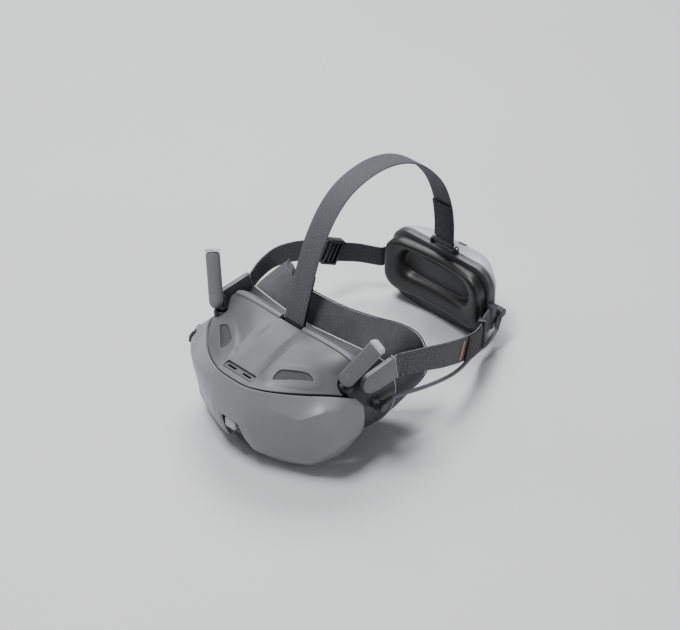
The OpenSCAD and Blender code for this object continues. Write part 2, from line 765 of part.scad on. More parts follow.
module battery_board() {
    color("#1f5c3c")
        translate([-46, 117.2, 12])
            cube([86, 1.4, 48]);
}
cushion_w = 104;
cushion_z = [14, 68];
hollow_r = 196.6;
opening_z = [33, 60];
module head_cushion() {
    color("#18191b")
        difference() {
            translate([0, 97, (cushion_z[0] + cushion_z[1]) / 2])
                round_box(cushion_w, cushion_z[1] - cushion_z[0], frame_y - 97.3, 14);
            translate([0, 104 - hollow_r, -1])
                cylinder(h = 100, r = hollow_r, $fn = 144);
            translate([0, 90, (opening_z[0] + opening_z[1]) / 2])
                round_box(76, opening_z[1] - opening_z[0], 30, 9);
        }
}
module strap_bracket() {
    color("#232527")
        translate([0, 117, box_h + 0.1]) {
            for (x = [-12.4, 12.4])
                translate([x - 1.4, -3, 0])
                    cube([2.8, 6, 6]);
            translate([-11, -3, 0])
                cube([22, 6, 1.4]);
            translate([-11, 0, 3.8])
                rotate([0, 90, 0])
                    cylinder(h = 22, r = 1.2);
        }
}
button_at = [6, 134, 68];
button_lean = 36;
button_r = 3.4;
module on_crown() {
    translate(button_at)
        rotate([-button_lean, 0, 0])
            children();
}
module power_button() {
    color("#17181a")
        on_crown()
            translate([0, 0, -2.4])
                cylinder(h = 3.4, r = button_r);
}
plug_x = 53.4;
socket_y = 122.8;
socket_z = 30;
module lead_socket() {
    color("#232527")
        translate([plug_x - 12.4, socket_y, socket_z])
            rotate([0, 90, 0])
                difference() {
                    cylinder(h = 11.6, r = 4);
                    translate([0, 0, 2])
                        cylinder(h = 12, r = 2.8);
                }
}

// ---- power lead, held between the goggles and the battery box ----

lead_route = [
    [81.8, -41, 50], [82.6, -34, 49], [84, -24, 46.8], [85.4, -14, 44.4], [86.6, -3, 42], [87.3, 8, 39.6],
    [87.4, 19, 37.2], [86.4, 30, 34.6], [84.2, 41, 32.2], [80.6, 52, 29], [75.8, 63, 24.6], [71, 74, 19.4],
    [67.2, 84, 15], [65.2, 93, 12.4], [64.6, 100, 12.8], [64.6, 106, 16.2], [64.6, 111.4, 20.6]];
module power_lead() {
    route = smooth(lead_route, 2);
    color("#8b8e92")
        loft([for (i = [0 : len(route) - 1])
            let (d = tangent(route, i), e2 = unit(cross(d, up_z)), e1 = cross(e2, d))
                [for (k = [0 : 7]) route[i] + lead_d / 2 * (cos(45 * k) * e1 + sin(45 * k) * e2)]]);
}
module right_angle_plug(at, tip, back) {
    color("#2a2c2e") {
        translate(at)
            rotate([0, 90, 0]) {
                cylinder(h = 9, r = 4.2);
                translate([0, 0, -7])
                    cylinder(h = 8, r = 2.6);
            }
        rod(at + [6, 3 * back.y, 3 * back.z], tip, 3, 2);
    }
}
module goggles_plug() {
    right_angle_plug([77.9, jack_y, jack_z], lead_route[0] - [0, 0.05, 0], [0, 1, -0.1]);
}
module battery_plug() {
    right_angle_plug([plug_x, socket_y, socket_z], lead_route[len(lead_route) - 1] + [0, 0.05, 0.03],
                     [0, -0.9, -0.4]);
}

front_visor();
nose_cover();
nose_tab();
top_shell();
vent_mesh(-1);  // vent_mesh_left
vent_mesh(1);  // vent_mesh_right
slot_plate();
rear_trim();
strap_bar();
bottom_shell();
face_frame();
optics_plate();
face_cushion();
carriage(-1);  // carriage_left
carriage(1);  // carriage_right
display(-1);  // display_left
display(1);  // display_right
lens(-1);  // lens_left
lens(1);  // lens_right
focus_knob(-1);  // focus_knob_left
focus_knob(1);  // focus_knob_right
carriage_rails();
main_board();
heat_sink();
fan_housing();
fan_rotor();
power_jack();
antenna(-1);  // antenna_left
antenna(1);  // antenna_right
antenna_pin(-1);  // antenna_pin_left
antenna_pin(1);  // antenna_pin_right
arm(-1);  // arm_left
arm(1);  // arm_right
arm_rims();
stick_gimbal();
stick_yoke();
stick_cap();
back_button();
case_screws();
band_right();
band_mark();
band_right_tail();
triglide();
band_left();
webbing_left();
adjuster();
top_strap();
strap_tail_front();
strap_tail_rear();
battery_frame();
battery_cover();
battery_cells();
battery_board();
head_cushion();
strap_bracket();
power_button();
lead_socket();
power_lead();
goggles_plug();
battery_plug();
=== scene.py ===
"""Goggles for flying a model by its camera, with a headband that carries the battery behind the head.
Sizes in this file are in millimetres; each mesh is turned to metres as it is made."""
import math

import bmesh
import bpy
from mathutils import Matrix, Vector
from mathutils.bvhtree import BVHTree


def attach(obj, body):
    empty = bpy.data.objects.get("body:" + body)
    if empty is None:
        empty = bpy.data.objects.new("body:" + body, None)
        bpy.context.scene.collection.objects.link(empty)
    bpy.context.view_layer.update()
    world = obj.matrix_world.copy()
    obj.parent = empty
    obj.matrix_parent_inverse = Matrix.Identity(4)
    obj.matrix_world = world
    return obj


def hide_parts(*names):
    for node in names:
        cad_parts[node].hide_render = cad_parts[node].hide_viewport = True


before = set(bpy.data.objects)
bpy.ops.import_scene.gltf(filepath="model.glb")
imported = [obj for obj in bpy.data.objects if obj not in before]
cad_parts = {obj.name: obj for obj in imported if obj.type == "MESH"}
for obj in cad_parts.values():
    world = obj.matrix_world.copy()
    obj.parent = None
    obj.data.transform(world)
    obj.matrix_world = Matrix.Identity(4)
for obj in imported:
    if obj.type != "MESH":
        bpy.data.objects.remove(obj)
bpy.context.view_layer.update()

# ---- Camera ----
# A short telephoto lens, a little to the right of the visor and looking down on it.
view_azimuth = math.radians(42.921)
view_height = math.radians(38.135)
looked_at = Vector((-0.019769, 0.008797, 0.05))
view_distance = 1.715948
towards_camera = Vector((math.sin(view_azimuth) * math.cos(view_height),
                         -math.cos(view_azimuth) * math.cos(view_height),
                         math.sin(view_height)))
camera = bpy.data.objects.new("camera", bpy.data.cameras.new("camera"))
bpy.context.collection.objects.link(camera)
camera.data.lens = 110
camera.data.sensor_width = 36
camera.data.clip_end = 20
camera.location = looked_at + view_distance * towards_camera
camera.rotation_mode = "QUATERNION"
camera.rotation_quaternion = (-towards_camera).to_track_quat("-Z", "Y")
bpy.context.scene.camera = camera


# ---- Table and studio light ----
# A plain pale table, one broad soft light over the back, and two weaker ones that fill the sides.
def linear(hex_colour):
    """An sRGB hex colour as linear RGBA."""
    channels = [int(hex_colour[i:i + 2], 16) / 255 for i in (1, 3, 5)]
    return (*[c / 12.92 if c <= 0.04045 else ((c + 0.055) / 1.055) ** 2.4 for c in channels], 1)


def add_node(tree, kind, inputs=(), **settings):
    """Adds a node, or takes the one that is there; an input is a value or a (node, output) link."""
    made = kind if isinstance(kind, bpy.types.Node) else tree.nodes.new(kind)
    for name, value in settings.items():
        setattr(made, name, value)
    for name, value in dict(inputs).items():
        if isinstance(value, tuple) and isinstance(value[0], bpy.types.Node):
            tree.links.new(value[0].outputs[value[1]], made.inputs[name])
        else:
            made.inputs[name].default_value = value
    return made


def new_material(name):
    """An empty finish: its node tree, its shader, and its place on the object in metres."""
    material = bpy.data.materials.new(name)
    material.use_nodes = True
    tree = material.node_tree
    return material, tree, tree.nodes["Principled BSDF"], add_node(tree, "ShaderNodeTexCoord")


def noise(tree, place, scale, detail=2.0, seen_as="Object", **others):
    """A cloudy pattern over the object."""
    inputs = {"Vector": (place, seen_as), "Scale": scale, "Detail": detail, **others}
    return add_node(tree, "ShaderNodeTexNoise", inputs), "Fac"


def spread(tree, source, low, high):
    """A pattern's 0 to 1 spread over a range."""
    return add_node(tree, "ShaderNodeMapRange", {"Value": source, "To Min": low, "To Max": high}), 0


def two_tones(tree, source, first, second, start=0.0, end=1.0):
    """Two colours blended by a pattern."""
    made = add_node(tree, "ShaderNodeValToRGB", {"Fac": source})
    for stop, colour, at in zip(made.color_ramp.elements, (first, second), (start, end)):
        stop.position = at
        stop.color = linear(colour)
    return made, "Color"


def relief(tree, height, strength, distance, **settings):
    """A pattern raised from the surface, by metres."""
    inputs = {"Height": height, "Strength": strength, "Distance": distance}
    return add_node(tree, "ShaderNodeBump", inputs, **settings), 0


def table_paint():
    """Matt paint rolled on board: pale, with a faint cloudiness."""
    material, tree, shader, place = new_material("matt_painted_board")
    tint = two_tones(tree, noise(tree, place, 3.0, 3.0), "#c9cacc", "#d2d3d5")
    add_node(tree, shader, {"Base Color": tint, "Roughness": 0.62})
    return material


table_size = 14.0
bpy.ops.mesh.primitive_plane_add(size=table_size, location=(0, 0, -0.0004))
table = bpy.context.object
table.name = "table"
table.data.materials.append(table_paint())


def soft_light(name, direction, distance, size, watts):
    """A square light aimed at the middle of the goggles."""
    lamp = bpy.data.lights.new(name, "AREA")
    lamp.size = size
    lamp.energy = watts
    made = bpy.data.objects.new(name, lamp)
    bpy.context.collection.objects.link(made)
    away = Vector(direction).normalized()
    made.location = looked_at + distance * away
    made.rotation_euler = away.to_track_quat("Z", "Y").to_euler()


soft_light("light_over_back", (-0.45, 0.45, 1.0), 2.2, 1.2, 46)
soft_light("light_over_front", (-0.1, -0.28, 1.0), 2.2, 0.6, 48)
soft_light("light_left", (-1.0, -0.5, 0.5), 2.2, 0.8, 9)
soft_light("light_right", (1.0, 0.1, 0.45), 2.4, 1.0, 9)
world = bpy.data.worlds.new("studio")
world.use_nodes = True
add_node(world.node_tree, world.node_tree.nodes["Background"], {"Color": linear("#c9cacb"), "Strength": 0.27})
bpy.context.scene.world = world


# ---- Power lead ----
# A round rubber-jacketed lead from the goggles to the battery box, held at both ends by its plugs.
def spline(points, steps, creases=()):
    """A smooth line through the points, pulled tight at the places that creases gives, from 0 to 1."""
    creases = dict(creases)
    last = len(points) - 1
    line = []
    for i in range(last):
        a, b = points[i], points[i + 1]
        before = points[i - 1] if i else 2 * a - b
        after = points[i + 2] if i + 2 <= last else 2 * b - a
        start = ((b - before) / 2).lerp(b - a, creases.get(i, 0))
        end = ((after - a) / 2).lerp(b - a, creases.get(i + 1, 0))
        for k in range(steps):
            t = k / steps
            line.append(a * (2 * t ** 3 - 3 * t ** 2 + 1) + start * (t ** 3 - 2 * t ** 2 + t)
                        + b * (3 * t ** 2 - 2 * t ** 3) + end * (t ** 3 - t ** 2))
    return line + [points[last]]


def vectors(*points):
    return [Vector(p) for p in points]


def rubber(name, colour, roughness, grain_mm):
    """Moulded rubber: dull, with a fine even grain from its mould."""
    material, tree, shader, place = new_material(name)
    dust = noise(tree, place, 90.0, 4.0)
    tint = add_node(tree, "ShaderNodeHueSaturation",
                    {"Color": linear(colour), "Value": spread(tree, dust, 0.85, 1.15)})
    add_node(tree, shader, {
        "Base Color": (tint, "Color"), "Roughness": spread(tree, dust, roughness - 0.06, roughness + 0.06),
        "Normal": relief(tree, noise(tree, place, 1000 / grain_mm), 0.25, 0.0001),
        "IOR": 1.52, "Specular IOR Level": 0.4})
    return material


lead_width = 3.4
lead_route = spline(vectors(
    (81.8, -41, 50), (82.6, -34, 49), (84, -24, 46.8), (85.4, -14, 44.4), (86.6, -3, 42), (87.3, 8, 39.6),
    (87.4, 19, 37.2), (86.4, 30, 34.6), (84.2, 41, 32.2), (80.6, 52, 29), (75.8, 63, 24.6), (71, 74, 19.4),
    (67.2, 84, 15), (65.2, 93, 12.4), (64.6, 100, 12.8), (64.6, 106, 16.2), (64.6, 111.4, 20.6)), 6)
lead_line = bpy.data.curves.new("power_lead_jacket", "CURVE")
lead_line.dimensions = "3D"
lead_line.bevel_depth = lead_width / 2000
lead_line.bevel_resolution = 5
lead_line.use_fill_caps = True
lead_turns = lead_line.splines.new("POLY")
lead_turns.points.add(len(lead_route) - 1)
for turn, spot in zip(lead_turns.points, lead_route):
    turn.co = (*(0.001 * spot), 1)
lead = bpy.data.objects.new("power_lead_jacket", lead_line)
bpy.context.collection.objects.link(lead)
lead.data.materials.append(rubber("rubber_lead_jacket", "#63656a", 0.42, 0.5))
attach(lead, "goggles")
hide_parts("power_lead")


# ---- Plugs on the lead ----
# Right-angle barrel plugs moulded onto the lead: a round body across the lead, grip rings at its end,
# a tapered and slotted strain relief, and a bright metal barrel that goes into the socket.
def mesh_piece(name, corners, faces, spots=None):
    """A new object from corners in millimetres; spots are each corner's place on the cloth, for a weave."""
    mesh = bpy.data.meshes.new(name)
    mesh.from_pydata([0.001 * Vector(c) for c in corners], [], faces)
    mesh.update()
    if spots:
        chart = mesh.uv_layers.new(name="cloth")
        for loop in mesh.loops:
            chart.data[loop.index].uv = 0.001 * Vector(spots[loop.vertex_index])
    made = bpy.data.objects.new(name, mesh)
    bpy.context.collection.objects.link(made)
    return made


def modify(made, kind, **settings):
    modifier = made.modifiers.new(kind.lower(), kind)
    for name, value in settings.items():
        setattr(modifier, name, value)
    return made


def round_edges(made, mm, segments=3, angle=32):
    """Rounds every edge sharper than the angle."""
    return modify(made, "BEVEL", width=0.001 * mm, segments=segments, limit_method="ANGLE",
                  angle_limit=math.radians(angle), miter_outer="MITER_ARC", harden_normals=False)


def apply_modifiers(made):
    graph = bpy.context.evaluated_depsgraph_get()
    shaped = bpy.data.meshes.new_from_object(made.evaluated_get(graph))
    made.modifiers.clear()
    made.data = shaped
    return made


def settle(made, smooth_below=38):
    """Applies the modifiers, and leaves only edges sharper than the angle looking sharp."""
    shaped = apply_modifiers(made).data
    shaped.shade_smooth()
    shaped.set_sharp_from_angle(angle=math.radians(smooth_below))
    return made


def ringed(name, rings, closed=False, spots=None):
    """A skin through rings of corners; closed joins the last ring to the first."""
    count = len(rings[0])
    faces = []
    for r in range(len(rings) if closed else len(rings) - 1):
        low, high = r * count, (r + 1) % len(rings) * count
        faces += [(low + k, low + (k + 1) % count, high + (k + 1) % count, high + k) for k in range(count)]
    if not closed:
        faces.append(tuple(range(count - 1, -1, -1)))
        faces.append(tuple(range((len(rings) - 1) * count, len(rings) * count)))
    return mesh_piece(name, [p for ring in rings for p in ring], faces, spots)


def circle(middle, radius, across, along, sides):
    """Corners round a circle that lies in two directions."""
    turns = [math.tau * k / sides for k in range(sides)]
    return [middle + radius * (math.cos(a) * across + math.sin(a) * along) for a in turns]


def turned(name, profile, base, direction, sides=48):
    """A turned piece: pairs of radius and height along the direction from its base."""
    axis = Vector(direction).normalized()
    across = axis.orthogonal().normalized()
    narrowest = 0.02
    return ringed(name, [circle(Vector(base) + height * axis, max(radius, narrowest), across,
        axis.cross(across),
                                sides) for radius, height in profile])


def face_outwards(made, open_ends=False):
    """Turns every face outwards; with open_ends it first takes the flat ends off a turned piece."""
    shape = bmesh.new()
    shape.from_mesh(made.data)
    if open_ends:
        bmesh.ops.delete(shape, geom=[f for f in shape.faces if len(f.verts) > 4], context="FACES")
    else:
        bmesh.ops.recalc_face_normals(shape, faces=shape.faces)
    shape.to_mesh(made.data)
    shape.free()
    return made


def loft(name, rings, closed=False, spots=None):
    """A ringed skin with its faces outwards."""
    return face_outwards(ringed(name, rings, closed, spots))


def join(name, *pieces):
    """Several meshes as one piece."""
    made = bmesh.new()
    for piece in pieces:
        made.from_mesh(piece.data)
        bpy.data.objects.remove(piece)
    mesh = bpy.data.meshes.new(name)
    made.to_mesh(mesh)
    made.free()
    result = bpy.data.objects.new(name, mesh)
    bpy.context.collection.objects.link(result)
    return result


def finish(made, material, body, slot, *nodes):
    """Gives a piece its finish, and says what it rides on and which plain solids it stands for."""
    made.data.materials.clear()
    made.data.materials.append(material)
    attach(made, body)
    if nodes:
        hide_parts(*nodes)
    return made


def moulded(name, colour, roughness, spark_mm=0.5, spark=0.3, edge_wear_and_highlight="#000000"):
    """Moulded ABS with a spark-eroded texture: a fine even grain that spreads the highlights.
    The grain is really about 0.1 mm and is drawn coarser, so that it shows."""
    material, tree, shader, place = new_material(name)
    grain = noise(tree, place, 1000 / spark_mm, Roughness=0.6)
    flow = noise(tree, place, 45.0, 5.0)
    tint = add_node(tree, "ShaderNodeHueSaturation",
                    {"Color": linear(colour), "Value": spread(tree, grain, 0.86, 1.14)})
    # Convex edges get a second colour added to the base: partly rubbed wear, partly a painted highlight along
    # the edges.
    edge = add_node(tree, "ShaderNodeMapRange", {
        "Value": (add_node(tree, "ShaderNodeNewGeometry"), "Pointiness"),
        "From Min": 0.54, "From Max": 0.62, "To Max": 0.35})
    worn_and_highlit = add_node(tree, "ShaderNodeMix", {"Factor": (edge, 0)}, data_type="RGBA", blend_type="ADD")
    tree.links.new(tint.outputs["Color"], worn_and_highlit.inputs["A"])
    worn_and_highlit.inputs["B"].default_value = linear(edge_wear_and_highlight)
    add_node(tree, shader, {
        "Base Color": (worn_and_highlit, "Result"), "Roughness": spread(tree, flow, roughness - 0.05, roughness + 0.05),
        "Normal": relief(tree, grain, spark, 0.0001), "IOR": 1.5, "Specular IOR Level": 0.5})
    return material


def polished_steel(name, colour, roughness):
    """Drawn steel wire and pressed steel: bright, with faint marks round it from drawing."""
    material, tree, shader, place = new_material(name)
    marks = noise(tree, place, 900.0, 3.0, Distortion=0.4)
    add_node(tree, shader, {
        "Base Color": linear(colour), "Metallic": 1.0, "Normal": relief(tree, marks, 0.08, 0.0001),
        "Roughness": spread(tree, marks, roughness - 0.08, roughness + 0.12)})
    return material


dark_abs = moulded("dark_moulded_abs", "#1c1d1f", 0.46, edge_wear_and_highlight="#303235")
plug_rubber = rubber("moulded_plug_rubber", "#3b3c3f", 0.42, 0.6)
steel = polished_steel("polished_steel", "#c9cbce", 0.22)


def right_angle_plug(name, at, lead_end):
    """The plug's body lies along X; the lead leaves it sideways through a tapered, grooved relief."""
    body = turned(name, [(3.4, -0.6), (4.2, 0), (4.2, 5.6), (3.8, 6), (3.8, 6.5), (4.2, 6.9), (4.2, 8.4),
                         (3.6, 9), (0, 9.1)], at, (1, 0, 0))
    way = (Vector(lead_end) - (Vector(at) + Vector((5, 0, 0))))
    reach = way.length
    relief = []
    for step in range(13):
        share = step / 12
        radius = 3.1 - 1.15 * share
        relief.append((radius - (0.35 if step % 2 else 0), reach * (0.25 + 0.75 * share)))
    tail = turned(name + "_relief", relief, Vector(at) + Vector((5, 0, 0)), way)
    return settle(round_edges(join(name, body, tail), 0.22, 2, 40))


goggles_plug = finish(right_angle_plug("goggles_plug_body", (77.9, -55, 51), (81.8, -41, 50)),
                      plug_rubber, "goggles", "dark_plastic", "goggles_plug")
battery_plug = finish(right_angle_plug("battery_plug_body", (53.4, 122.8, 30), (64.6, 111.5, 20.7)),
                      plug_rubber, "goggles", "dark_plastic", "battery_plug")
for name, at in (("goggles_plug_barrel", (70.9, -55, 51)), ("battery_plug_barrel", (46.4, 122.8, 30))):
    sleeve = turned(name, [(2.2, 0), (2.55, 0.4), (2.55, 6.6), (2.9, 6.6), (2.9, 7.2)], at, (1, 0, 0))
    finish(settle(round_edges(sleeve, 0.12, 2, 40)), steel, "goggles", "steel")


# ---- Front visor ----
# One moulded ABS shell over the eyes: broad flat facets that meet in soft creases, a notch for the nose,
# and a rolled edge. It hooks over the top shell and is clipped to the face frame.
def whole(half):
    """A right-hand half row becomes a whole row, from left to right."""
    row = vectors(*half)
    return [Vector((-p.x, p.y, p.z)) for p in row[:0:-1]] + row


def both_sides(half, count):
    """Creases given for a half row, for the whole row."""
    middle = count - 1
    return {middle + side * i: tightness for i, tightness in half.items() for side in (-1, 1)}


def surface_grid(halves, across, down, creases_across=(), creases_down=()):
    """A fine grid of points through half rows, with the first row at the top."""
    tight = both_sides(dict(creases_across), len(halves[0]))
    rows = [spline(whole(half), across, tight) for half in halves]
    columns = [spline([row[c] for row in rows], down, creases_down) for c in range(len(rows[0]))]
    return [[column[r] for column in columns] for r in range(len(columns[0]))]


def skin(name, grid, thickness, soften=2, edge=0.5):
    """A moulded wall, its outside on the grid, with rounded edges."""
    wide = len(grid[0])
    corners = [p for row in grid for p in row]
    faces = [(r * wide + c, (r + 1) * wide + c, (r + 1) * wide + c + 1, r * wide + c + 1)
             for r in range(len(grid) - 1) for c in range(wide - 1)]
    made = mesh_piece(name, corners, faces)
    shape = bmesh.new()
    shape.from_mesh(made.data)
    inside = [v for v in shape.verts if not v.is_boundary]
    for _ in range(soften):
        bmesh.ops.smooth_vert(shape, verts=inside, factor=0.5, use_axis_x=True, use_axis_y=True,
            use_axis_z=True)
    shape.to_mesh(made.data)
    shape.free()
    modify(made, "SOLIDIFY", thickness=0.001 * thickness, offset=-1.0)
    return round_edges(made, edge, 3, 50)


def cut(made, *cutters):
    """Takes the cutters' shapes out of a piece."""
    for cutter in cutters:
        modify(made, "BOOLEAN", operation="DIFFERENCE", solver="EXACT", object=cutter)
    apply_modifiers(made)
    for cutter in cutters:
        bpy.data.objects.remove(cutter)
    return made


wall = 2.2
seam_row = ((0, -137, 81), (6, -136.9, 81), (10, -136.7, 81), (14, -136.3, 81.1), (18, -135.7, 81.3),
            (30, -130.5, 81.5), (43, -121.5, 81), (56, -109, 79.3), (66, -97, 77), (73, -86.5, 73.5),
            (77.5, -77.2, 68.8))
brow_row = ((0, -141.3, 71), (6, -141.2, 71), (10, -141, 71), (14, -140.6, 71), (18, -140, 70.8),
            (31, -137, 69.8), (45.5, -131, 68), (59.5, -123, 65), (71.5, -109, 71), (76.5, -95, 70),
            (80.5, -72.5, 61))
cheek_row = ((0, -141.8, 60), (6, -141.7, 59), (10.5, -141.4, 56), (15, -140.9, 53), (19.5, -140, 51),
             (33, -134.5, 49), (47, -127.5, 48), (61, -118.5, 50), (76.5, -107.5, 54), (81, -94, 54),
             (81, -71.5, 51))
lower_row = ((0, -141.4, 51.5), (8, -141.2, 50.5), (12.5, -140, 43), (16, -138, 36), (20, -136.5, 32),
             (33, -129.5, 30.5), (47, -123, 30), (60.5, -115.5, 31), (75.5, -105.5, 34), (80.5, -92, 37),
             (81, -72.5, 40))
skirt_row = ((0, -140.8, 46.5), (8.6, -140.3, 45.6), (11.6, -138.6, 37), (13.6, -135.5, 27),
    (16.5, -130.5, 15),
             (31, -125, 13), (45, -119, 12), (60, -113, 14), (71, -100, 20), (77.5, -87, 28), (79.5, -74, 33))
hem_row = ((0, -139.6, 43), (8.4, -139.3, 42.5), (9.8, -137.3, 35), (11.2, -133.5, 23.5), (13.6, -126.5, 9),
           (29, -116, 2), (43, -107, 0), (56, -98, 2), (66, -88.5, 8.5), (72.5, -81.5, 18), (76, -75.5, 27))
visor_grid = surface_grid((seam_row, brow_row, cheek_row, lower_row, skirt_row, hem_row), 6, 6,
                          {4: 1, 7: 1}, {1: 1, 2: 0.4})
visor_abs = moulded("visor_moulded_abs", "#7b7c7e", 0.38, 0.6, 0.25, edge_wear_and_highlight="#5a5b5d")

# The stick and the button come through round holes on the left shoulder.
stick_at = Vector((-72.5, -107, 67.5))
back_at = Vector((-76, -99, 69))
control_way = Vector((-0.62, -0.42, 0.66)).normalized()
visor = settle(skin("visor_shell", visor_grid, wall, 1))
cut(visor, turned("stick_hole", [(5.5, -6), (5.5, 6)], stick_at, control_way),
    turned("back_hole", [(3.1, -6), (3.1, 6)], back_at, control_way))
visor.data.set_sharp_from_angle(angle=math.radians(38))
finish(visor, visor_abs, "goggles", "visor_plastic", "front_visor")

# ---- Nose cover and its tab ----
# A dark moulding that fills the notch and runs back under the nose, with a small light tab clipped in it.
nose_rows = (
    ((0, -132.5, 52), (6, -132.4, 51.5), (11.5, -131.5, 49.5), (18, -130.5, 45)),
    ((0, -132.5, 38), (6, -132.2, 37.5), (11.5, -130, 35.5), (18, -127, 31.5)),
    ((0, -128, 20), (6, -127.5, 19.5), (11.5, -125.5, 17), (18, -121, 15)),
    ((0, -119, 6), (6, -118.6, 5.6), (11.5, -117, 4.5), (18, -112.5, 4.5)),
    ((0, -108, 3), (6, -108, 2.8), (11.5, -107.5, 2.6), (18, -104.5, 3)),
    ((0, -96, 9), (6, -96, 8), (11.5, -96, 5), (18, -95, 3.2)),
    ((0, -86, 29), (6, -86, 26), (12, -85, 17), (17.6, -84, 8)),
    ((0, -78.6, 47), (6.8, -78.6, 42.6), (12, -78.6, 31), (18.4, -78.6, 18.6)))
nose_cover = settle(skin("nose_cover_shell", surface_grid(nose_rows, 6, 6), wall))
finish(nose_cover, dark_abs, "goggles", "dark_plastic", "nose_cover")


def rounded(points, radius, steps=5):
    """A flat outline with its corners rounded off."""
    spots = [Vector(p) for p in points]
    outline = []
    for i, corner in enumerate(spots):
        back, ahead = spots[i - 1] - corner, spots[(i + 1) % len(spots)] - corner
        reach = min(radius, 0.45 * back.length, 0.45 * ahead.length)
        a, b = corner + reach * back.normalized(), corner + reach * ahead.normalized()
        for k in range(steps + 1):
            t = k / steps
            outline.append(a * (1 - t) ** 2 + corner * 2 * t * (1 - t) + b * t ** 2)
    return outline


def rectangle(half_wide, half_high, radius, steps=5):
    """The outline of a rectangle with rounded corners."""
    return rounded([(-half_wide, -half_high), (half_wide, -half_high), (half_wide, half_high),
                    (-half_wide, half_high)], radius, steps)


def plate(name, outline, thickness, place, edge=0.4):
    """A flat piece: an outline pushed out along the third direction of its place, with rounded edges.
    The place is a corner, two directions of the outline and the direction of the thickness."""
    origin, across, up, out = [Vector(v) for v in place]
    count = len(outline)
    flat = [origin + p[0] * across + p[1] * up for p in outline]
    corners = flat + [p + thickness * out for p in flat]
    faces = [tuple(range(count - 1, -1, -1)), tuple(range(count, 2 * count))]
    faces += [(i, (i + 1) % count, count + (i + 1) % count, count + i) for i in range(count)]
    made = mesh_piece(name, corners, faces)
    face_outwards(made)
    return round_edges(made, edge, 3, 25) if edge else made


nose_tab = settle(plate("nose_tab_clip", rectangle(5.5, 4.75, 1.6), 4.9,
                        ((-1.5, -137.6, 35.5), (1, 0, 0), (0, 0, 1), (0, 1, 0)), 0.5))
finish(nose_tab, moulded("tab_moulded_abs", "#a9abae", 0.4), "goggles", "light_plastic", "nose_tab")

# ---- Top shell ----
# A darker ABS moulding over the optics: a shallow valley from the strap to the nose between two shoulders,
# and a raised surround to each vent. Screwed up into the face frame from below.
ridge_row = ((0, -69, 96.3), (6, -69, 96.3), (10, -69, 96.3), (14, -69, 96.6), (20, -69, 96.8),
             (30, -68.5, 96.6), (40, -68, 96.2), (50, -67.5, 95.6), (60, -67, 93.8), (66, -66.8, 90.5),
             (70, -66.5, 85.5))
crown_row = ((0, -90, 92.5), (6, -90, 92.5), (10, -90, 92.7), (14, -89, 94), (19, -88, 95), (29, -84, 94.8),
             (39, -80, 93.5), (49, -77, 91.5), (58, -74, 89), (64.5, -72, 85), (69, -71, 80))
bowl_row = ((0, -110, 87.5), (6, -110, 87.5), (10, -110, 87.5), (14, -109, 88.3), (18, -108, 89.5),
            (28, -102, 90), (39, -95, 89), (49, -88, 87), (58, -81, 84.5), (65, -76, 81), (70, -73, 76))
lip_row = ((0, -127, 83.2), (6, -127, 83.2), (10, -126.8, 83.2), (14, -126, 83.5), (18, -124, 84.2),
           (28.5, -116, 85.8), (39.5, -107.5, 85.5), (51.5, -97.5, 83.5), (60.5, -88.5, 81), (67, -80.5, 78),
           (71.5, -75, 73))
tuck = 2.0
front_row = []
for i, (x, y, z) in enumerate(seam_row):
    before, after = seam_row[max(i - 1, 0)], seam_row[min(i + 1, len(seam_row) - 1)]
    run = Vector((after[0] - before[0], after[1] - before[1])).normalized()
    front_row.append((x - tuck * run.y, y + tuck * run.x, z + 0.5))
top_grid = surface_grid((ridge_row, crown_row, bowl_row, lip_row, front_row), 6, 10, {3: 1, 4: 0.8},
                        {0: 0.3, 3: 0.6})

vent_at = Vector((36, -104.5))
vent_turn = math.radians(38)
vent_outline = ((-15.5, -6.8), (17, -4), (13.5, 1.3), (8, 2.4), (-10, 2.8), (-14.3, -2.6))


def vent_spot(side, u, v):
    """A place on a vent's own outline, seen from above."""
    return Vector((side * (vent_at.x + u * math.cos(vent_turn) - v * math.sin(vent_turn)),
                   vent_at.y + u * math.sin(vent_turn) + v * math.cos(vent_turn)))


pod_rise = 0.8
for row in top_grid:
    for spot in row:
        away = Vector((abs(spot.x), spot.y)) - vent_at
        u = away.x * math.cos(vent_turn) + away.y * math.sin(vent_turn)
        v = -away.x * math.sin(vent_turn) + away.y * math.cos(vent_turn)
        reach = ((abs(u) / 18.5) ** 3 + (abs(v + 2) / 7.5) ** 3) ** (1 / 3)
        share = min(max((1.45 - reach) / 0.4, 0), 1)
        spot.z += pod_rise * share * share * (3 - 2 * share)

shell_abs = moulded("shell_moulded_abs", "#515254", 0.45, 0.6, 0.3, edge_wear_and_highlight="#3a3b3d")
top_shell = settle(skin("top_shell_moulding", top_grid, wall, 1, 0.5))
shell_tree = BVHTree.FromPolygons([v.co.copy() for v in top_shell.data.vertices],
                                  [tuple(p.vertices) for p in top_shell.data.polygons])


def shell_height(x, y, miss=90):
    """Height of the top shell's outside over a spot on the table, in millimetres."""
    hit = shell_tree.ray_cast(Vector((0.001 * x, 0.001 * y, 0.2)), Vector((0, 0, -1)))[0]
    return miss if hit is None else 1000 * hit.z


upright = ((1, 0, 0), (0, 1, 0), (0, 0, 1))
shell_cuts = []
for side in (-1, 1):
    around = rounded([vent_spot(side, u, v) for u, v in vent_outline], 2.5, 4)
    shell_cuts.append(plate("vent_cutter", around, 30, ((0, 0, 70), *upright), 0))
shell_cuts.append(plate("port_cutter", rectangle(15.5, 3.5, 1.8), 20, ((0, -126.5, 70), *upright), 0))
for side in (-1, 1):
    shell_cuts.append(turned("foot_cutter", [(6.7, 0), (6.7, 40)], (side * 68.5, -79.4, 60), (0, 0, 1)))
cut(top_shell, *shell_cuts)
round_edges(top_shell, 0.35, 2, 55)
settle(top_shell, 34)
finish(top_shell, shell_abs, "goggles", "shell_plastic", "top_shell")
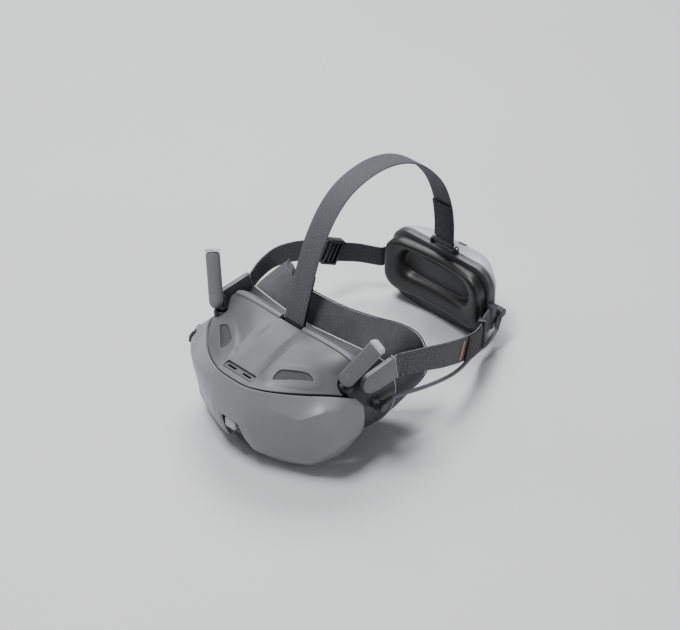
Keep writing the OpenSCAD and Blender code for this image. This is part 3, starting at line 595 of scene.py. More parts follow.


# ---- Vent grilles ----
# Fine black wire cloth behind each vent: a thin sheet that stands in the shell's opening, a little below its
# outside; the rim that holds it is not made.
def calculate(tree, operation, *values):
    """A sum on links and numbers."""
    return add_node(tree, "ShaderNodeMath", dict(enumerate(values)), operation=operation), 0


def threads(tree, source, turns):
    """Rows of round threads across a direction."""
    return calculate(tree, "ABSOLUTE", calculate(tree, "SINE", calculate(tree, "MULTIPLY", source, turns)))


def wire_cloth():
    """Woven steel wire, painted dark: the wires cross every 1.1 mm, and on this solid sheet the hole between
    them is painted shade, near black.
    """
    material, tree, shader, place = new_material("painted_wire_cloth")
    wires_apart = 0.0011
    split = add_node(tree, "ShaderNodeSeparateXYZ", {"Vector": (place, "Object")})
    hole_shade_mask = calculate(tree, "MULTIPLY", *[threads(tree, (split, axis),
        math.pi / wires_apart) for axis in "XY"])
    # The holes between the wires are painted shade in the colour, near black; the sheet itself has no
    # openings.
    add_node(tree, shader, {"Base Color": two_tones(tree, hole_shade_mask, "#3e4042", "#08090a", 0.25, 0.6),
                            "Roughness": 0.55, "Normal": relief(tree, hole_shade_mask, 0.7, 0.0003, invert=True)})
    return material


wire_black = wire_cloth()
for side, name in ((-1, "left"), (1, "right")):
    inner = [vent_spot(side, u * 0.985, v * 0.97) for u, v in vent_outline]
    outline = rounded(inner, 2.3, 4)
    middle = sum(outline, Vector((0, 0))) / len(outline)
    corners, faces = [], []
    rings = 10
    for ring in range(rings):
        share = 1 - ring / rings
        for p in outline:
            spot = middle + share * (p - middle)
            corners.append((spot.x, spot.y, shell_height(spot.x, spot.y, 88) - 1.3))
    count = len(outline)
    for ring in range(rings - 1):
        for k in range(count):
            a, b = ring * count + k, ring * count + (k + 1) % count
            faces.append((a, b, b + count, a + count))
    faces.append(tuple((rings - 1) * count + k for k in range(count)))
    grille = mesh_piece(f"vent_grille_{name}", corners, faces)
    face_outwards(grille)
    modify(grille, "SOLIDIFY", thickness=0.0006, offset=0)
    settle(grille)
    finish(grille, wire_black, "goggles", "dark_plastic", f"vent_mesh_{name}")

# ---- Port plate ----
# A lighter ABS plate set a little below the shell, with two slots that lead to the card and the plug sockets.
slot_plate = plate("port_plate", rectangle(15.2, 3.2, 1.6), 1.6,
                   ((0, -126.5, 81.3), *upright), 0.3)
slots = [plate("slot_cutter", rectangle(4.5, 1.1, 1.0), 10,
               ((x, -126.5, 76), *upright), 0) for x in (-8, 8)]
cut(slot_plate, *slots)
settle(slot_plate, 30)
finish(slot_plate, moulded("port_moulded_abs", "#3c3d3f", 0.5), "goggles", "shell_plastic", "slot_plate")
for x, name in ((-8, "left"), (8, "right")):
    sleeve = plate(f"port_sleeve_{name}", rectangle(4.2, 0.9, 0.8), 1.0,
                   ((x, -126.5, 79.2), *upright), 0.15)
    finish(settle(sleeve), dark_abs, "goggles", "dark_plastic")

# ---- Rear trim and strap bar ----
# A moulded strip along the back of the top shell, sloped to the front with a narrow groove below it, and a
# steel bar across its gap that the strap over the head goes round.
trim_abs = moulded("trim_moulded_abs", "#606265", 0.4, edge_wear_and_highlight="#565a5e")
trim_profile = [(-2.6, -1.2), (-2.3, 1.0), (-1.2, 1.7), (1.2, 1.9), (6.2, -0.9), (6.4, -2.4)]
trim_pieces = []
for side, name in ((-1, "left"), (1, "right")):
    rings = []
    path = [p for p in spline(whole(ridge_row), 8) if 11.8 <= side * p.x <= 63.5]
    for p in path:
        rings.append([Vector((p.x, p.y + 1.4 + u, p.z - 0.3 + v)) for u, v in trim_profile])
    trim_pieces.append(settle(round_edges(loft(f"rear_trim_{name}", rings), 0.35, 3, 28), 34))
rear_trim = join("rear_trim_strip", *trim_pieces)
finish(rear_trim, trim_abs, "goggles", "trim_plastic", "rear_trim")
strap_bar = settle(round_edges(turned("strap_bar_pin", [(1.3, 0), (1.3, 24.4)], (-12.2, -64.6, 94.6),
    (1, 0, 0)),
                               0.4))
finish(strap_bar, steel, "goggles", "steel", "strap_bar")

# ---- Face frame ----
# The dark ABS frame that joins the optics to the face: a short funnel round the eyes, with a light bead
# along the edge that the cushion clips to, which is a painted highlight on that edge.
def loop_spline(points, steps):
    """A smooth closed line through the points."""
    count = len(points)
    line = []
    for i in range(count):
        a, b, c, d = (points[(i + k) % count] for k in (-1, 0, 1, 2))
        for k in range(steps):
            t = k / steps
            line.append(0.5 * (2 * b + (c - a) * t + (2 * a - 5 * b + 4 * c - d) * t * t
                               + (3 * b - a - 3 * c + d) * t ** 3))
    return line


def whole_loop(half):
    """A half loop from the brow to the nose becomes a whole loop."""
    right = vectors(*half)
    return right + [Vector((-p.x, p.y, p.z)) for p in right[-2:0:-1]]


face_centre = Vector((0, 0, 58))


def inwards(p, d):
    """The point moved a distance towards the middle of the face, straight across."""
    way = Vector((face_centre.x - p.x, 0, face_centre.z - p.z))
    return p + d * way.normalized()


rim_row = ((0, -57, 92.5), (30, -54, 92), (58, -47, 88), (71, -39, 80), (76.5, -34, 66), (77.5, -32, 48),
           (74, -34, 29), (64, -40, 14), (48, -47, 7), (32, -54, 7.5), (20, -60, 16), (13, -64, 30),
           (8, -67, 42), (0, -68, 47))
mouth_row = ((0, -77.5, 90), (30, -77.5, 89.5), (54.6, -77.5, 83.9), (64.2, -77.5, 73.3), (71.5, -77.5, 62),
             (75.5, -77.5, 48), (73, -77.5, 31), (62, -77.5, 17.5), (47, -77.5, 11), (32, -77.5, 11),
             (20, -77.5, 19.5), (13, -77.5, 32.5), (7.5, -77.5, 43.5), (0, -77.5, 48.5))
rim_line = loop_spline(whole_loop(rim_row), 5)
mouth_line = loop_spline(whole_loop(mouth_row), 5)
frame_rings = []
for rim, mouth in zip(rim_line, mouth_line):
    frame_rings.append([mouth, mouth.lerp(rim, 0.5), rim, inwards(rim, wall),
                        inwards(mouth.lerp(rim, 0.5), wall), inwards(mouth, wall)])
face_frame = loft("face_frame_funnel", frame_rings, closed=True)
cut(face_frame, turned("jack_hole", [(4.5, 0), (4.5, 30)], (60, -55, 51), (1, 0, 0)))
settle(round_edges(face_frame, 0.4, 3, 40), 34)
frame_abs = moulded("frame_moulded_abs", "#2b2d2f", 0.44, edge_wear_and_highlight="#3a3c3f")
finish(face_frame, frame_abs, "goggles", "dark_plastic", "face_frame")


def bead(name, line, radius, sides=8, closed=True):
    """A round bead along a line."""
    rings = []
    for i, p in enumerate(line):
        ahead = line[(i + 1) % len(line)] if closed or i + 1 < len(line) else p
        behind = line[i - 1] if closed or i else p
        along = (ahead - behind).normalized()
        out = Vector((p.x - face_centre.x, 0, p.z - face_centre.z))
        out = (out - out.dot(along) * along).normalized()
        rings.append(circle(p, radius, out, along.cross(out), sides))
    return loft(name, rings, closed)


# A light bead along the rim: a painted highlight on the frame's edge, made as a thin light-coloured piece.
frame_highlight_bead = settle(bead("face_frame_highlight_bead", [inwards(p, 0.2) + Vector((0, 0.4, 0)) for p in rim_line], 0.7))
finish(frame_highlight_bead, moulded("painted_highlight_bead_abs", "#a2a4a6", 0.34), "goggles", "light_plastic")


# ---- Face cushion ----
# A foam ring covered in brushed knitted polyester, clipped to the frame: it swells outwards at the brow and
# the cheeks, thins to a flap over the nose, and a bound edge runs round its back.
def brushed_knit(name, colour, light_fibre, loop_mm):
    """Brushed knitted polyester: short pile that catches light at the edges, with fine loops in rows.
    The loops are really 0.4 mm apart and are drawn a little larger, so that they show."""
    material, tree, shader, place = new_material(name)
    squeeze = add_node(tree, "ShaderNodeMapping", {"Vector": (place, "Object"), "Scale": (1.0, 1.0, 1.7)})
    loops = add_node(tree, "ShaderNodeTexVoronoi", {"Vector": (squeeze, 0), "Scale": 1000 / loop_mm})
    fuzz = noise(tree, place, 1400.0)
    mixed = calculate(tree, "MULTIPLY", noise(tree, place, 60.0, 6.0), fuzz)
    fine = relief(tree, fuzz, 0.4, 0.0002)
    add_node(tree, fine[0], {"Normal": relief(tree, (loops, "Distance"), 0.5, 0.00025)})
    add_node(tree, shader, {"Base Color": two_tones(tree, mixed, colour, light_fibre, 0.12, 0.42),
                            "Roughness": 0.9, "Normal": fine, "Specular IOR Level": 0.2, "Sheen Weight": 0.35,
                            "Sheen Roughness": 0.45, "Sheen Tint": linear("#9a9da2")})
    return material


cushion_back_row = ((0, -43, 115), (28, -37.5, 111), (48, -24, 103.5), (62, -8, 94.5), (71, 3, 82.5),
    (75, 8, 66),
                    (76, 9, 46), (69, 2, 28), (56, -10, 15), (40, -24, 10), (27, -38, 15), (19, -48, 27),
                    (13, -54, 40), (0, -57, 48))
cushion_depth = 13
cushion_share = (1, 1, 1, 1, 1, 1, 1, 1, 0.85, 0.7, 0.5, 0.36, 0.3, 0.26)
front_line = loop_spline(whole_loop(rim_row), 3)
back_line = loop_spline(whole_loop(cushion_back_row), 3)
share_line = [v.x for v in loop_spline([Vector((cushion_share[min(i, 26 - i)], 0, 0)) for i in range(26)], 3)]
cushion_rings = []
for front, rear, share in zip(front_line, back_line, share_line):
    deep = cushion_depth * share
    front = inwards(front, 0.4) + Vector((0, 0.9, 0))
    middle = front.lerp(rear, 0.5)
    cushion_rings.append([
        front, inwards(front, 0.3 * deep), inwards(front.lerp(rear, 0.04), 0.78 * deep),
        inwards(front.lerp(rear, 0.25), 0.97 * deep), inwards(middle, deep),
        inwards(front.lerp(rear, 0.75), 0.97 * deep), inwards(front.lerp(rear, 0.96), 0.78 * deep),
        inwards(rear, 0.35 * deep), rear, inwards(front.lerp(rear, 0.9), -0.4 * share),
        inwards(front.lerp(rear, 0.62), -1.1 * share), inwards(front.lerp(rear, 0.3), -1.2 * share),
        inwards(front.lerp(rear, 0.06), -0.6 * share)])
cushion = loft("face_cushion_knit", cushion_rings, closed=True)
modify(cushion, "SUBSURF", levels=2, render_levels=2)
settle(cushion, 80)
knit = brushed_knit("brushed_knit", "#3d3e40", "#58595c", 0.8)
finish(cushion, knit, "goggles", "cushion_fabric", "face_cushion")
binding = settle(bead("face_cushion_binding", [inwards(p, 0.1) for p in loop_spline(
    whole_loop(cushion_back_row), 5)], 0.55))
finish(binding, knit, "goggles", "cushion_fabric")

# ---- Antennas ----
# Two flat ABS blades on hinges at the back corners of the top shell. Each has a round root, a bevelled edge
# and a lighter cap on its end, and swings on a steel pin held in a dark knuckle; the pin is made as part of
# the knuckle, in its dark plastic.
hinge = Vector((71.7, -81.3, 89))
blade_way = Vector((20.8, 17.4, 38.2)).normalized()
blade_face = Vector((0.887, -0.06, -0.456)).cross(blade_way).normalized()
blade_across = blade_way.cross(blade_face)
blade_long, blade_wide, blade_deep = 47, 13.4, 6.4
tip_cap = 5.5
pin_radius = 1.6
antenna_abs = moulded("antenna_moulded_abs", "#606163", 0.4, edge_wear_and_highlight="#5a5b5d")
cap_abs = moulded("antenna_cap_abs", "#b2b4b6", 0.32)


def mirrored_piece(made, side):
    """The piece itself, or its mirror image on the left."""
    if side < 0:
        made.data.transform(Matrix.Scale(-1, 4, Vector((1, 0, 0))))
        made.data.flip_normals()
    return made


def arc(middle, radius, start, end, steps):
    """Points along an arc, its angles in degrees."""
    return [Vector((middle[0] + radius * math.cos(math.radians(start + (end - start) * k / steps)),
                    middle[1] + radius * math.sin(math.radians(start + (end - start) * k / steps))))
            for k in range(steps + 1)]


for side, name in ((-1, "left"), (1, "right")):
    half = blade_wide / 2
    place = (hinge - 0.5 * blade_deep * blade_face, blade_across, blade_way, blade_face)
    shaft_top = blade_long - tip_cap - 2.6
    blade = plate(f"antenna_blade_{name}", arc((0, 0), half, 180, 360, 24)
                  + [Vector((half, shaft_top)), Vector((-half, shaft_top))], blade_deep, place, 0)
    round_edges(blade, 2.2, 5, 30)
    settle(blade, 40)
    mirrored_piece(blade, side)
    finish(blade, antenna_abs, f"antenna_{name}", "trim_plastic", f"antenna_{name}")
    cap = plate(f"antenna_cap_{name}", rounded([(-half, shaft_top + 0.15), (half, shaft_top + 0.15),
                                                (half, blade_long - 8), (half - 2.2, blade_long - 5.5),
                                                (2.2 - half, blade_long - 5.5), (-half,
                                                    blade_long - 8)], 0.8, 3),
                blade_deep, place, 1.1)
    mirrored_piece(settle(cap, 40), side)
    finish(cap, cap_abs, f"antenna_{name}", "light_plastic")
    disc = turned(f"antenna_root_{name}", [(4.4, 0), (4.4, 0.2), (4.1, 0.3), (0, 0.3)],
                  hinge + (0.5 * blade_deep - 0.1) * blade_face, blade_face)
    mirrored_piece(settle(round_edges(disc, 0.12, 2)), side)
    finish(disc, antenna_abs, f"antenna_{name}", "trim_plastic")

    behind = hinge - (blade_deep / 2 + 0.4) * blade_face
    knuckle = plate(f"antenna_knuckle_{name}", arc((0, 0), 5.4, 0, 180, 16) + [Vector((-4.6, -8.5)),
                                                                              Vector((4.6, -8.5))],
                    3.6, (behind, blade_across, blade_way, -blade_face), 0.8)
    settle(knuckle, 40)
    pin = turned("antenna_pin", [(pin_radius, 0), (pin_radius, 4.0)], behind, blade_face)
    foot = turned("antenna_foot", [(6, 0), (6, 3.4), (5.2, 4.6), (4.4, 5.2), (0, 5.4)], (68.5, -79.4, 75.5),
                  (0, 0, 1))
    settle(round_edges(foot, 0.3, 2))
    knuckle = mirrored_piece(join(f"antenna_knuckle_{name}", knuckle, settle(pin), foot), side)
    finish(knuckle, dark_abs, "goggles", "dark_plastic", f"antenna_pin_{name}")

# ---- Arms for the side bands ----
# Flat ABS plates clipped to the face frame's corners; a light edge strip closes the end where the band goes
# in.
arm_outline = [(-73.5, 82), (-71, 86.5), (-66, 88), (-38, 88.4), (-34.4, 66), (-56, 67), (-66, 69.5),
    (-72, 75)]
arm_deep = 4
rim_outline = [(-37.5, 88.7), (-36.9, 88.7), (-33.2, 65.7), (-33.8, 65.7)]
rims = []
for side, name in ((-1, "left"), (1, "right")):
    place = ((77.4, 0, 0), (0, 1, 0), (0, 0, 1), (1, 0, 0))
    arm = settle(plate(f"band_arm_{name}", rounded(arm_outline, 2.4), arm_deep, place, 0.9), 36)
    finish(mirrored_piece(arm, side), trim_abs, "goggles", "trim_plastic", f"arm_{name}")
    rim = settle(plate("arm_rim", rim_outline, arm_deep + 0.4, ((77.2, 0, 0), *place[1:]), 0.15), 36)
    rims.append(mirrored_piece(rim, side))
finish(join("band_arm_rims", *rims), cap_abs, "goggles", "light_plastic", "arm_rims")

# ---- Stick and button on the left shoulder ----
# A small rubber-topped thumb stick with a dished, ridged top, and a round button beside it. Each stands in
# a narrow ring pressed into the visor.
stick_rubber = rubber("stick_rubber", "#141516", 0.55, 0.3)
stick = turned("stick_top", [(1.3, -5.4), (1.3, -1.6), (3.7, -1.2), (4.0, -0.5), (4.0, 1.3), (3.7, 1.9),
                             (3.0, 1.95), (2.4, 1.3), (1.2, 1.05), (0, 1.0)], stick_at, control_way)
finish(settle(stick, 50), stick_rubber, "stick_cap", "dark_plastic", "stick_cap")
back_button = turned("back_button_cap", [(2.7, -3), (2.7, 0.3), (2.4, 0.75), (1.5, 0.9), (0, 0.8)], back_at,
                     control_way)
finish(settle(back_button, 50), trim_abs, "back_button", "trim_plastic", "back_button")
for at, radius, name in ((stick_at, 5.5, "stick"), (back_at, 3.1, "back")):
    ring = turned(f"{name}_ring", [(radius, -1.2), (radius, 0.4), (radius + 0.15, 0.6), (radius + 0.4, 0.5),
                                   (radius + 0.5, 0.1), (radius + 0.5, -1.0)], at - 0.2 * control_way,
                                       control_way)
    face_outwards(ring, open_ends=True)
    settle(ring, 60)
    finish(ring, dark_abs, "goggles", "dark_plastic")


# ---- Side bands ----
# Flat elastic: the right one is a wide ribbed elastic that ends in a folded tail, with a narrow orange tag
# sewn round it; the left one is a narrower elastic that meets plain webbing at the adjuster.
def woven(name, colour, crown_highlight_and_melange, rib_mm, pick_mm, roughness=0.82, melange=0.5):
    """Woven polyester tape: raised threads in offset rows, with painted highlight on their crowns and painted
    shade between them, flecked by lighter melange threads.
    The threads are really about 0.4 mm apart; the rows are drawn coarse enough to show."""
    material, tree, shader, place = new_material(name)
    split = add_node(tree, "ShaderNodeSeparateXYZ", {"Vector": (place, "UV")})
    row = calculate(tree, "MULTIPLY", (split, "X"), 1000 / pick_mm)
    shift = calculate(tree, "MULTIPLY", calculate(tree, "FLOOR", row), 0.5)
    rib = calculate(tree, "MULTIPLY_ADD", (split, "Y"), 1000 / rib_mm, shift)
    height = calculate(tree, "MULTIPLY", threads(tree, row, math.pi), threads(tree, rib, math.pi))
    fleck = add_node(tree, "ShaderNodeMapRange", {
        "Value": noise(tree, place, 700.0, 3.0, "UV"), "From Min": 0.35, "From Max": 0.7,
        "To Min": 1 - melange, "To Max": 1 + melange})
    # Colour from the threads' height times a random fleck: painted highlight on the crowns and painted shade
    # between the threads, with a real melange fleck.
    crown_light_and_fleck = calculate(tree, "MULTIPLY", height, (fleck, 0))
    add_node(tree, shader, {"Base Color": two_tones(tree, crown_light_and_fleck, colour, crown_highlight_and_melange, 0.05, 0.95),
                            "Roughness": roughness, "Normal": relief(tree, crown_light_and_fleck, 0.6, 0.0003),
                            "Specular IOR Level": 0.3, "Sheen Weight": 0.2, "Sheen Roughness": 0.4,
                            "Sheen Tint": linear("#a5a8ac")})
    return material


def tape_frames(path, up, start=None):
    """Each point of a tape's path with its direction, its width's direction and its outward side."""
    frames = []
    for i, p in enumerate(path):
        along = (path[min(i + 1, len(path) - 1)] - path[max(i - 1, 0)]).normalized()
        if i == 0 and start is not None:
            along = Vector(start)
        out = along.cross(Vector(up)).normalized()
        frames.append((p, along, out.cross(along), out))
    return frames


def tape(name, path, up, wide, thick, shift=0.0, start=None, across=10):
    """A flat tape along a path, its edges a little thinner; shift moves it to its outward side."""
    rings, spots = [], []
    run = 0.0
    before = None
    for p, _, upward, out in tape_frames(path, up, start):
        p = p + shift * out
        run += (p - before).length if before else 0
        before = p
        ring = []
        for face, order in ((-1, range(across + 1)), (1, range(across, -1, -1))):
            for k in order:
                share = 2 * k / across - 1
                half = 0.5 * thick * (1 - 0.45 * abs(share) ** 8)
                ring.append(p + 0.5 * wide * share * upward + face * half * out)
                spots.append((run, 0.5 * wide * share))
        rings.append(ring)
    made = loft(name, rings, spots=spots)
    return settle(made, 60)


def stitches(name, line, normals, thread=0.34, long=2.0, gap=0.9):
    """A row of lock stitches: a short rounded thread for each, sunk into the tape between them."""
    corners, faces = [], []
    run, wait = 0.0, 0.0
    for (a, b), n in zip(zip(line, line[1:]), normals):
        length = (b - a).length
        while wait < length:
            way = (b - a).normalized()
            middle = a + wait * way
            side = way.cross(n).normalized()
            base = len(corners)
            for share, rise, fat in ((-0.5, -0.25, 0.3), (-0.3, 0.1, 1.0), (0, 0.22, 1.1), (0.3, 0.1, 1.0),
                                     (0.5, -0.25, 0.3)):
                corners += circle(middle + share * long * way + rise * thread * n, fat * thread, side, n, 6)
            for r in range(4):
                for k in range(6):
                    lo, hi = base + 6 * r, base + 6 * (r + 1)
                    faces.append((lo + k, lo + (k + 1) % 6, hi + (k + 1) % 6, hi + k))
            wait += long + gap
        wait -= length
    return mesh_piece(name, corners, faces)


def seam_on(name, path, up, wide, share, lift, first, last, shift=0.0):
    """Stitches along a tape at a share of its half width, from one point of its path to another."""
    frames = tape_frames(path, up)[first:last + 1]
    line = [p + shift * out + 0.5 * wide * share * upward + lift * out for p, _, upward, out in frames]
    outs = [math.copysign(1, lift) * out for _, _, _, out in frames]
    return stitches(name, line, outs)


def seam_across(name, path, up, wide, at, lift, shift=0.0):
    """Stitches straight across a tape."""
    p, _, upward, out = tape_frames(path, up)[at]
    ends = [p + shift * out + lift * out + s * 0.43 * wide * upward for s in (-1, 1)]
    line = [ends[0].lerp(ends[1], k / 8) for k in range(9)]
    return stitches(name, line, [math.copysign(1, lift) * out] * 8)


band_weave = woven("melange_elastic", "#2a2b2d", "#7d7f82", 1.1, 1.4, melange=0.6)
tape_weave = woven("polyester_webbing", "#242527", "#515255", 0.8, 1.1)
tail_weave = woven("folded_tape", "#1b1c1d", "#37383a", 0.7, 0.9, 0.7, 0.3)
tag_weave = woven("orange_tag", "#c07355", "#f0a888", 0.6, 0.8, 0.7, 0.2)
thread_dark = rubber("sewing_thread", "#3c3e41", 0.6, 0.3)
thick_tape = 2.0
along_z, along_x = (0, 0, 1), (1, 0, 0)
arm_end_way = (0, 0.987, 0.159)
band_path = spline(vectors(
    (79.4, -34.2, 77.3), (82, -20, 73.6), (84.6, -4, 69.2), (85.6, 13, 62.5), (84.2, 29, 55.2),
    (80.4, 50, 45.2), (74.4, 70, 36), (67.6, 86, 30.6), (61.4, 98, 29.9), (58.4, 107.5, 29.8)), 6)
left_path = spline(vectors(
    (-79.4, -34.2, 77.6), (-84, -22, 78.4), (-87.4, -9, 78), (-90, 4, 76.2), (-91.4, 19, 71.8),
    (-91.4, 37, 65), (-89.4, 57, 55.6), (-85, 76, 46.2), (-76, 92, 40.8), (-66.6, 99.6, 38.9),
    (-60.2, 104, 38.2), (-58.5, 107.3, 38)), 6)
band_high, webbing_high = 22.5, 19
adjuster_at, mark_at, tail_end, triglide_at = 40, 28, 40, 44
finish(tape("band_right_elastic", band_path, along_z, band_high, thick_tape, start=arm_end_way), band_weave,
       "goggles", "band_knit", "band_right")
tag_path = [band_path[mark_at].lerp(band_path[mark_at + step], 0.33) for step in (-1, 0, 1)]
finish(tape("band_tag", tag_path, along_z, 16, 0.7, shift=1.35),
       tag_weave, "goggles", "mark_fabric", "band_mark")
finish(tape("band_right_folded_tail", band_path[mark_at + 2:tail_end + 1], along_z, band_high - 1, 1.5,
    shift=2.0),
       tail_weave, "goggles", "strap_weave", "band_right_tail")
finish(tape("band_left_elastic", left_path[:adjuster_at + 1], along_z, webbing_high, thick_tape,
            start=arm_end_way), band_weave, "goggles", "band_knit", "band_left")
finish(tape("webbing_left_tape", left_path[adjuster_at:], along_z, webbing_high, thick_tape - 0.4),
       tape_weave, "goggles", "strap_weave", "webbing_left")
seams = [seam_across("seam", band_path, along_z, band_high, at, 1.05) for at in (3, 5)]
seams += [seam_across("seam", left_path, along_z, webbing_high, at, -1.05) for at in (3, 5)]
seams += [seam_across("seam", band_path, along_z, band_high - 1, at, 0.8, 2.0)
          for at in (mark_at + 3, tail_end - 1)]
finish(settle(join("band_stitching", *seams), 60), thread_dark, "goggles", "strap_weave")

# ---- Buckles on the bands ----
# Moulded acetal: a three-bar slider where the right band folds back, made here with only its two outer bars,
# and a deeper adjuster on the left.
buckle_acetal = moulded("buckle_moulded_acetal", "#121315", 0.32, 0.7, 0.15, edge_wear_and_highlight="#3a3c3f")


def buckle(name, path, at, high, long, deep, bars, node):
    """A rounded frame round the tape, with bars across it at the shares of its length that bars gives."""
    p, along, upward, out = tape_frames(path, along_z)[at]
    rim = 2.0
    pieces = []
    tall = high + 4.6
    for share in bars:
        bar = plate("bar", rectangle(rim / 2, tall / 2, 0.5, 3), deep if abs(share) == 1 else 1.4,
                    (p + share * (long - rim) / 2 * along + (1.1 if abs(share) != 1 else -deep / 2) * out,
                     along, upward, out), 0.45)
        pieces.append(settle(bar, 40))
    for end in (-1, 1):
        cheek = plate("cheek", rectangle(long / 2, 1.0, 0.9, 4), deep,
                      (p + end * (tall / 2 - 1.0) * upward - deep / 2 * out, along, upward, out), 0.5)
        pieces.append(settle(cheek, 40))
    made = join(name, *pieces)
    return finish(made, buckle_acetal, "goggles", "dark_plastic", node)


buckle("triglide_slider", band_path, triglide_at, band_high, 6, 6.2, (-1, 1), "triglide")
buckle("adjuster_frame", left_path, adjuster_at, webbing_high, 16, 7, (-1, -0.2, 0.45, 1), "adjuster")

# ---- Strap over the head ----
# Polyester webbing that goes round the bar at each end and comes back on itself, held by hook-and-loop tape
# whose sewn end shows at the back.
strap_wide, strap_thick = 19.5, 2.0
over_path = spline(vectors(
    (0, -65.6, 96.4), (0, -60, 114), (0, -52, 137), (0, -42, 160), (0, -28, 180), (0, -12, 192.6),
        (0, 6, 198.2),
    (0, 28, 199), (0, 50, 193.6), (0, 69, 183.2), (0, 87, 167), (0, 102.5, 146), (0, 112.5, 121),
    (0, 116.4, 98), (0, 117, 78.6)), 6)
bar_loop = vectors((0, -61.9, 97.4), (0, -62.2, 94.6), (0, -63, 92.6), (0, -64.8, 92.2), (0, -66.5, 93.6))
front_tail = spline(vectors((0, -50.1, 136.2), (0, -52.7, 128.5), (0, -55.9, 118), (0, -58.4, 107), *bar_loop,
                            (0, -65.6, 97.4)), 5)
strap_weave = woven("strap_webbing", "#333436", "#737477", 0.8, 1.1, melange=0.35)
hook_weave = woven("hook_and_loop_tape", "#2e2f31", "#5c5d60", 1.2, 1.0, 0.9, 0.7)
finish(tape("top_strap_webbing", over_path, along_x, strap_wide, strap_thick), strap_weave, "goggles",
       "strap_weave", "top_strap")
finish(tape("strap_front_fold", front_tail, along_x, strap_wide - 1, 1.5), tail_weave, "goggles",
    "strap_weave",
       "strap_tail_front")
rear_tail = over_path[72:84]
finish(tape("strap_rear_fold", rear_tail, along_x, strap_wide - 0.4, 1.6, shift=2.0), hook_weave, "goggles",
       "strap_weave", "strap_tail_rear")
rear_loop = spline(vectors((0, 117, 80), (0, 118.4, 77.6), (0, 118.2, 75.2), (0, 116.6, 74.2),
    (0, 115.2, 75.6),
                           (0, 114.9, 80)), 5)
finish(tape("strap_rear_loop", rear_loop, along_x, strap_wide - 0.6, 1.4), strap_weave, "goggles",
    "strap_weave")
seams = [seam_across("seam", over_path, along_x, strap_wide, at, lift, shift)
         for at, lift, shift in ((73, 0.9, 2.0), (75, 0.9, 2.0), (82, 0.9, 2.0))]
seams += [seam_on("seam", over_path, along_x, strap_wide,
    share, 0.85, 73, 82, 2.0) for share in (-0.88, 0.88)]
seams += [seam_across("seam", front_tail, along_x, strap_wide, 2, -0.85)]
finish(settle(join("strap_stitching", *seams), 60), thread_dark, "goggles", "strap_weave")

# ---- Battery box ----
# A light ABS cover with crowned edges, clipped over a dark frame; a thin dark gap runs round between them.
box_wide, box_high = 110, 72
cover_front = 118.8


def box_ring(wide, low, high, radius, depth, steps=8):
    """A rounded rectangle across the box; depth is its Y, or a function of x that gives it."""
    ring = []
    for cx, cz, start in ((1, 1, 0), (-1, 1, 90), (-1, -1, 180), (1, -1, 270)):
        middle = (cx * (wide / 2 - radius), (low + high) / 2 + cz * ((high - low) / 2 - radius))
        ring += arc(middle, radius, start, start + 90, steps)
    dense = []
    for a, b in zip(ring, ring[1:] + ring[:1]):
        pieces = max(1, round((b - a).length / 4.5))
        dense += [a.lerp(b, k / pieces) for k in range(pieces)]
    return [Vector((p.x, depth(p.x) if callable(depth) else depth, p.y)) for p in dense]


def box_loft(name, sections):
    """A piece through rounded rectangles: for each, how far in from the box's side and from its top, its
    corner and its Y."""
    rings = [box_ring(box_wide - 2 * side, top, box_high - top, radius, depth)
             for side, top, radius, depth in sections]
    count = max(len(r) for r in rings)
    return loft(name, [resample(r, count) for r in rings])


def resample(ring, count):
    """The same closed ring with a set number of evenly spaced points, from its first point."""
    lengths = [(b - a).length for a, b in zip(ring, ring[1:] + ring[:1])]
    total = sum(lengths)
    made, i, passed = [], 0, 0.0
    for k in range(count):
        target = total * k / count
        while passed + lengths[i] < target:
            passed += lengths[i]
            i += 1
        made.append(ring[i].lerp(ring[(i + 1) % len(ring)], (target - passed) / lengths[i]))
    return made


cover_abs = moulded("cover_moulded_abs", "#b3b5b8", 0.4, 0.6, 0.3, edge_wear_and_highlight="#2a2c2f")
crown = spline([Vector(section) for section in (
    (0, 0, 18, 119.4), (2.5, 0, 18, 123), (7, 0.6, 17, 127), (12, 2.4, 17, 132), (17, 6, 16, 137),
    (19.6, 9.5, 15, 140), (23, 15, 13, 141.6), (32, 23, 9, 142))], 4)
cover = box_loft("battery_cover_shell", [(1.0, 0.8, 17, cover_front), (0.3, 0.2, 18, cover_front + 0.3),
    *crown])
lean = math.radians(36)
crown_way = Vector((0, math.sin(lean), math.cos(lean)))
button_at = Vector((6, 134, 68))
for cutter in (turned("button_hole", [(3.7, -8), (3.7, 8)], button_at, crown_way),
               turned("socket_hole", [(4.3, 0), (4.3, 12)], (44.4, 122.8, 30), (1, 0, 0))):
    cut(cover, cutter)
settle(cover, 34)
finish(cover, cover_abs, "goggles", "cover_plastic", "battery_cover")
frame_ring = settle(box_loft("battery_frame_ring", (
    (2.2, 2.2, 16, 111.9), (0.9, 0.9, 17, 112.5), (0.5, 0.5, 17, 113.4), (0.5, 0.5, 17, 117.3),
    (0.9, 0.9, 17, 117.8), (1.6, 1.6, 16.4, 117.9), (1.6, 1.6, 16.4, 118.7))), 34)
lugs = []
for side, middle in ((-1, 38), (1, 29.8)):
    lug = plate("lug", rectangle(3.5, 12, 1.6), 6,
                ((side * (box_wide / 2 + 1.4), 111, middle), (1, 0, 0), (0, 0, 1), (0, 1, 0)), 0.7)
    lugs.append(settle(lug, 36))
ring_abs = moulded("ring_moulded_abs", "#3c3d3f", 0.4, edge_wear_and_highlight="#4a4b4d")
finish(join("battery_frame_body", frame_ring, *lugs), ring_abs, "goggles", "dark_plastic", "battery_frame")

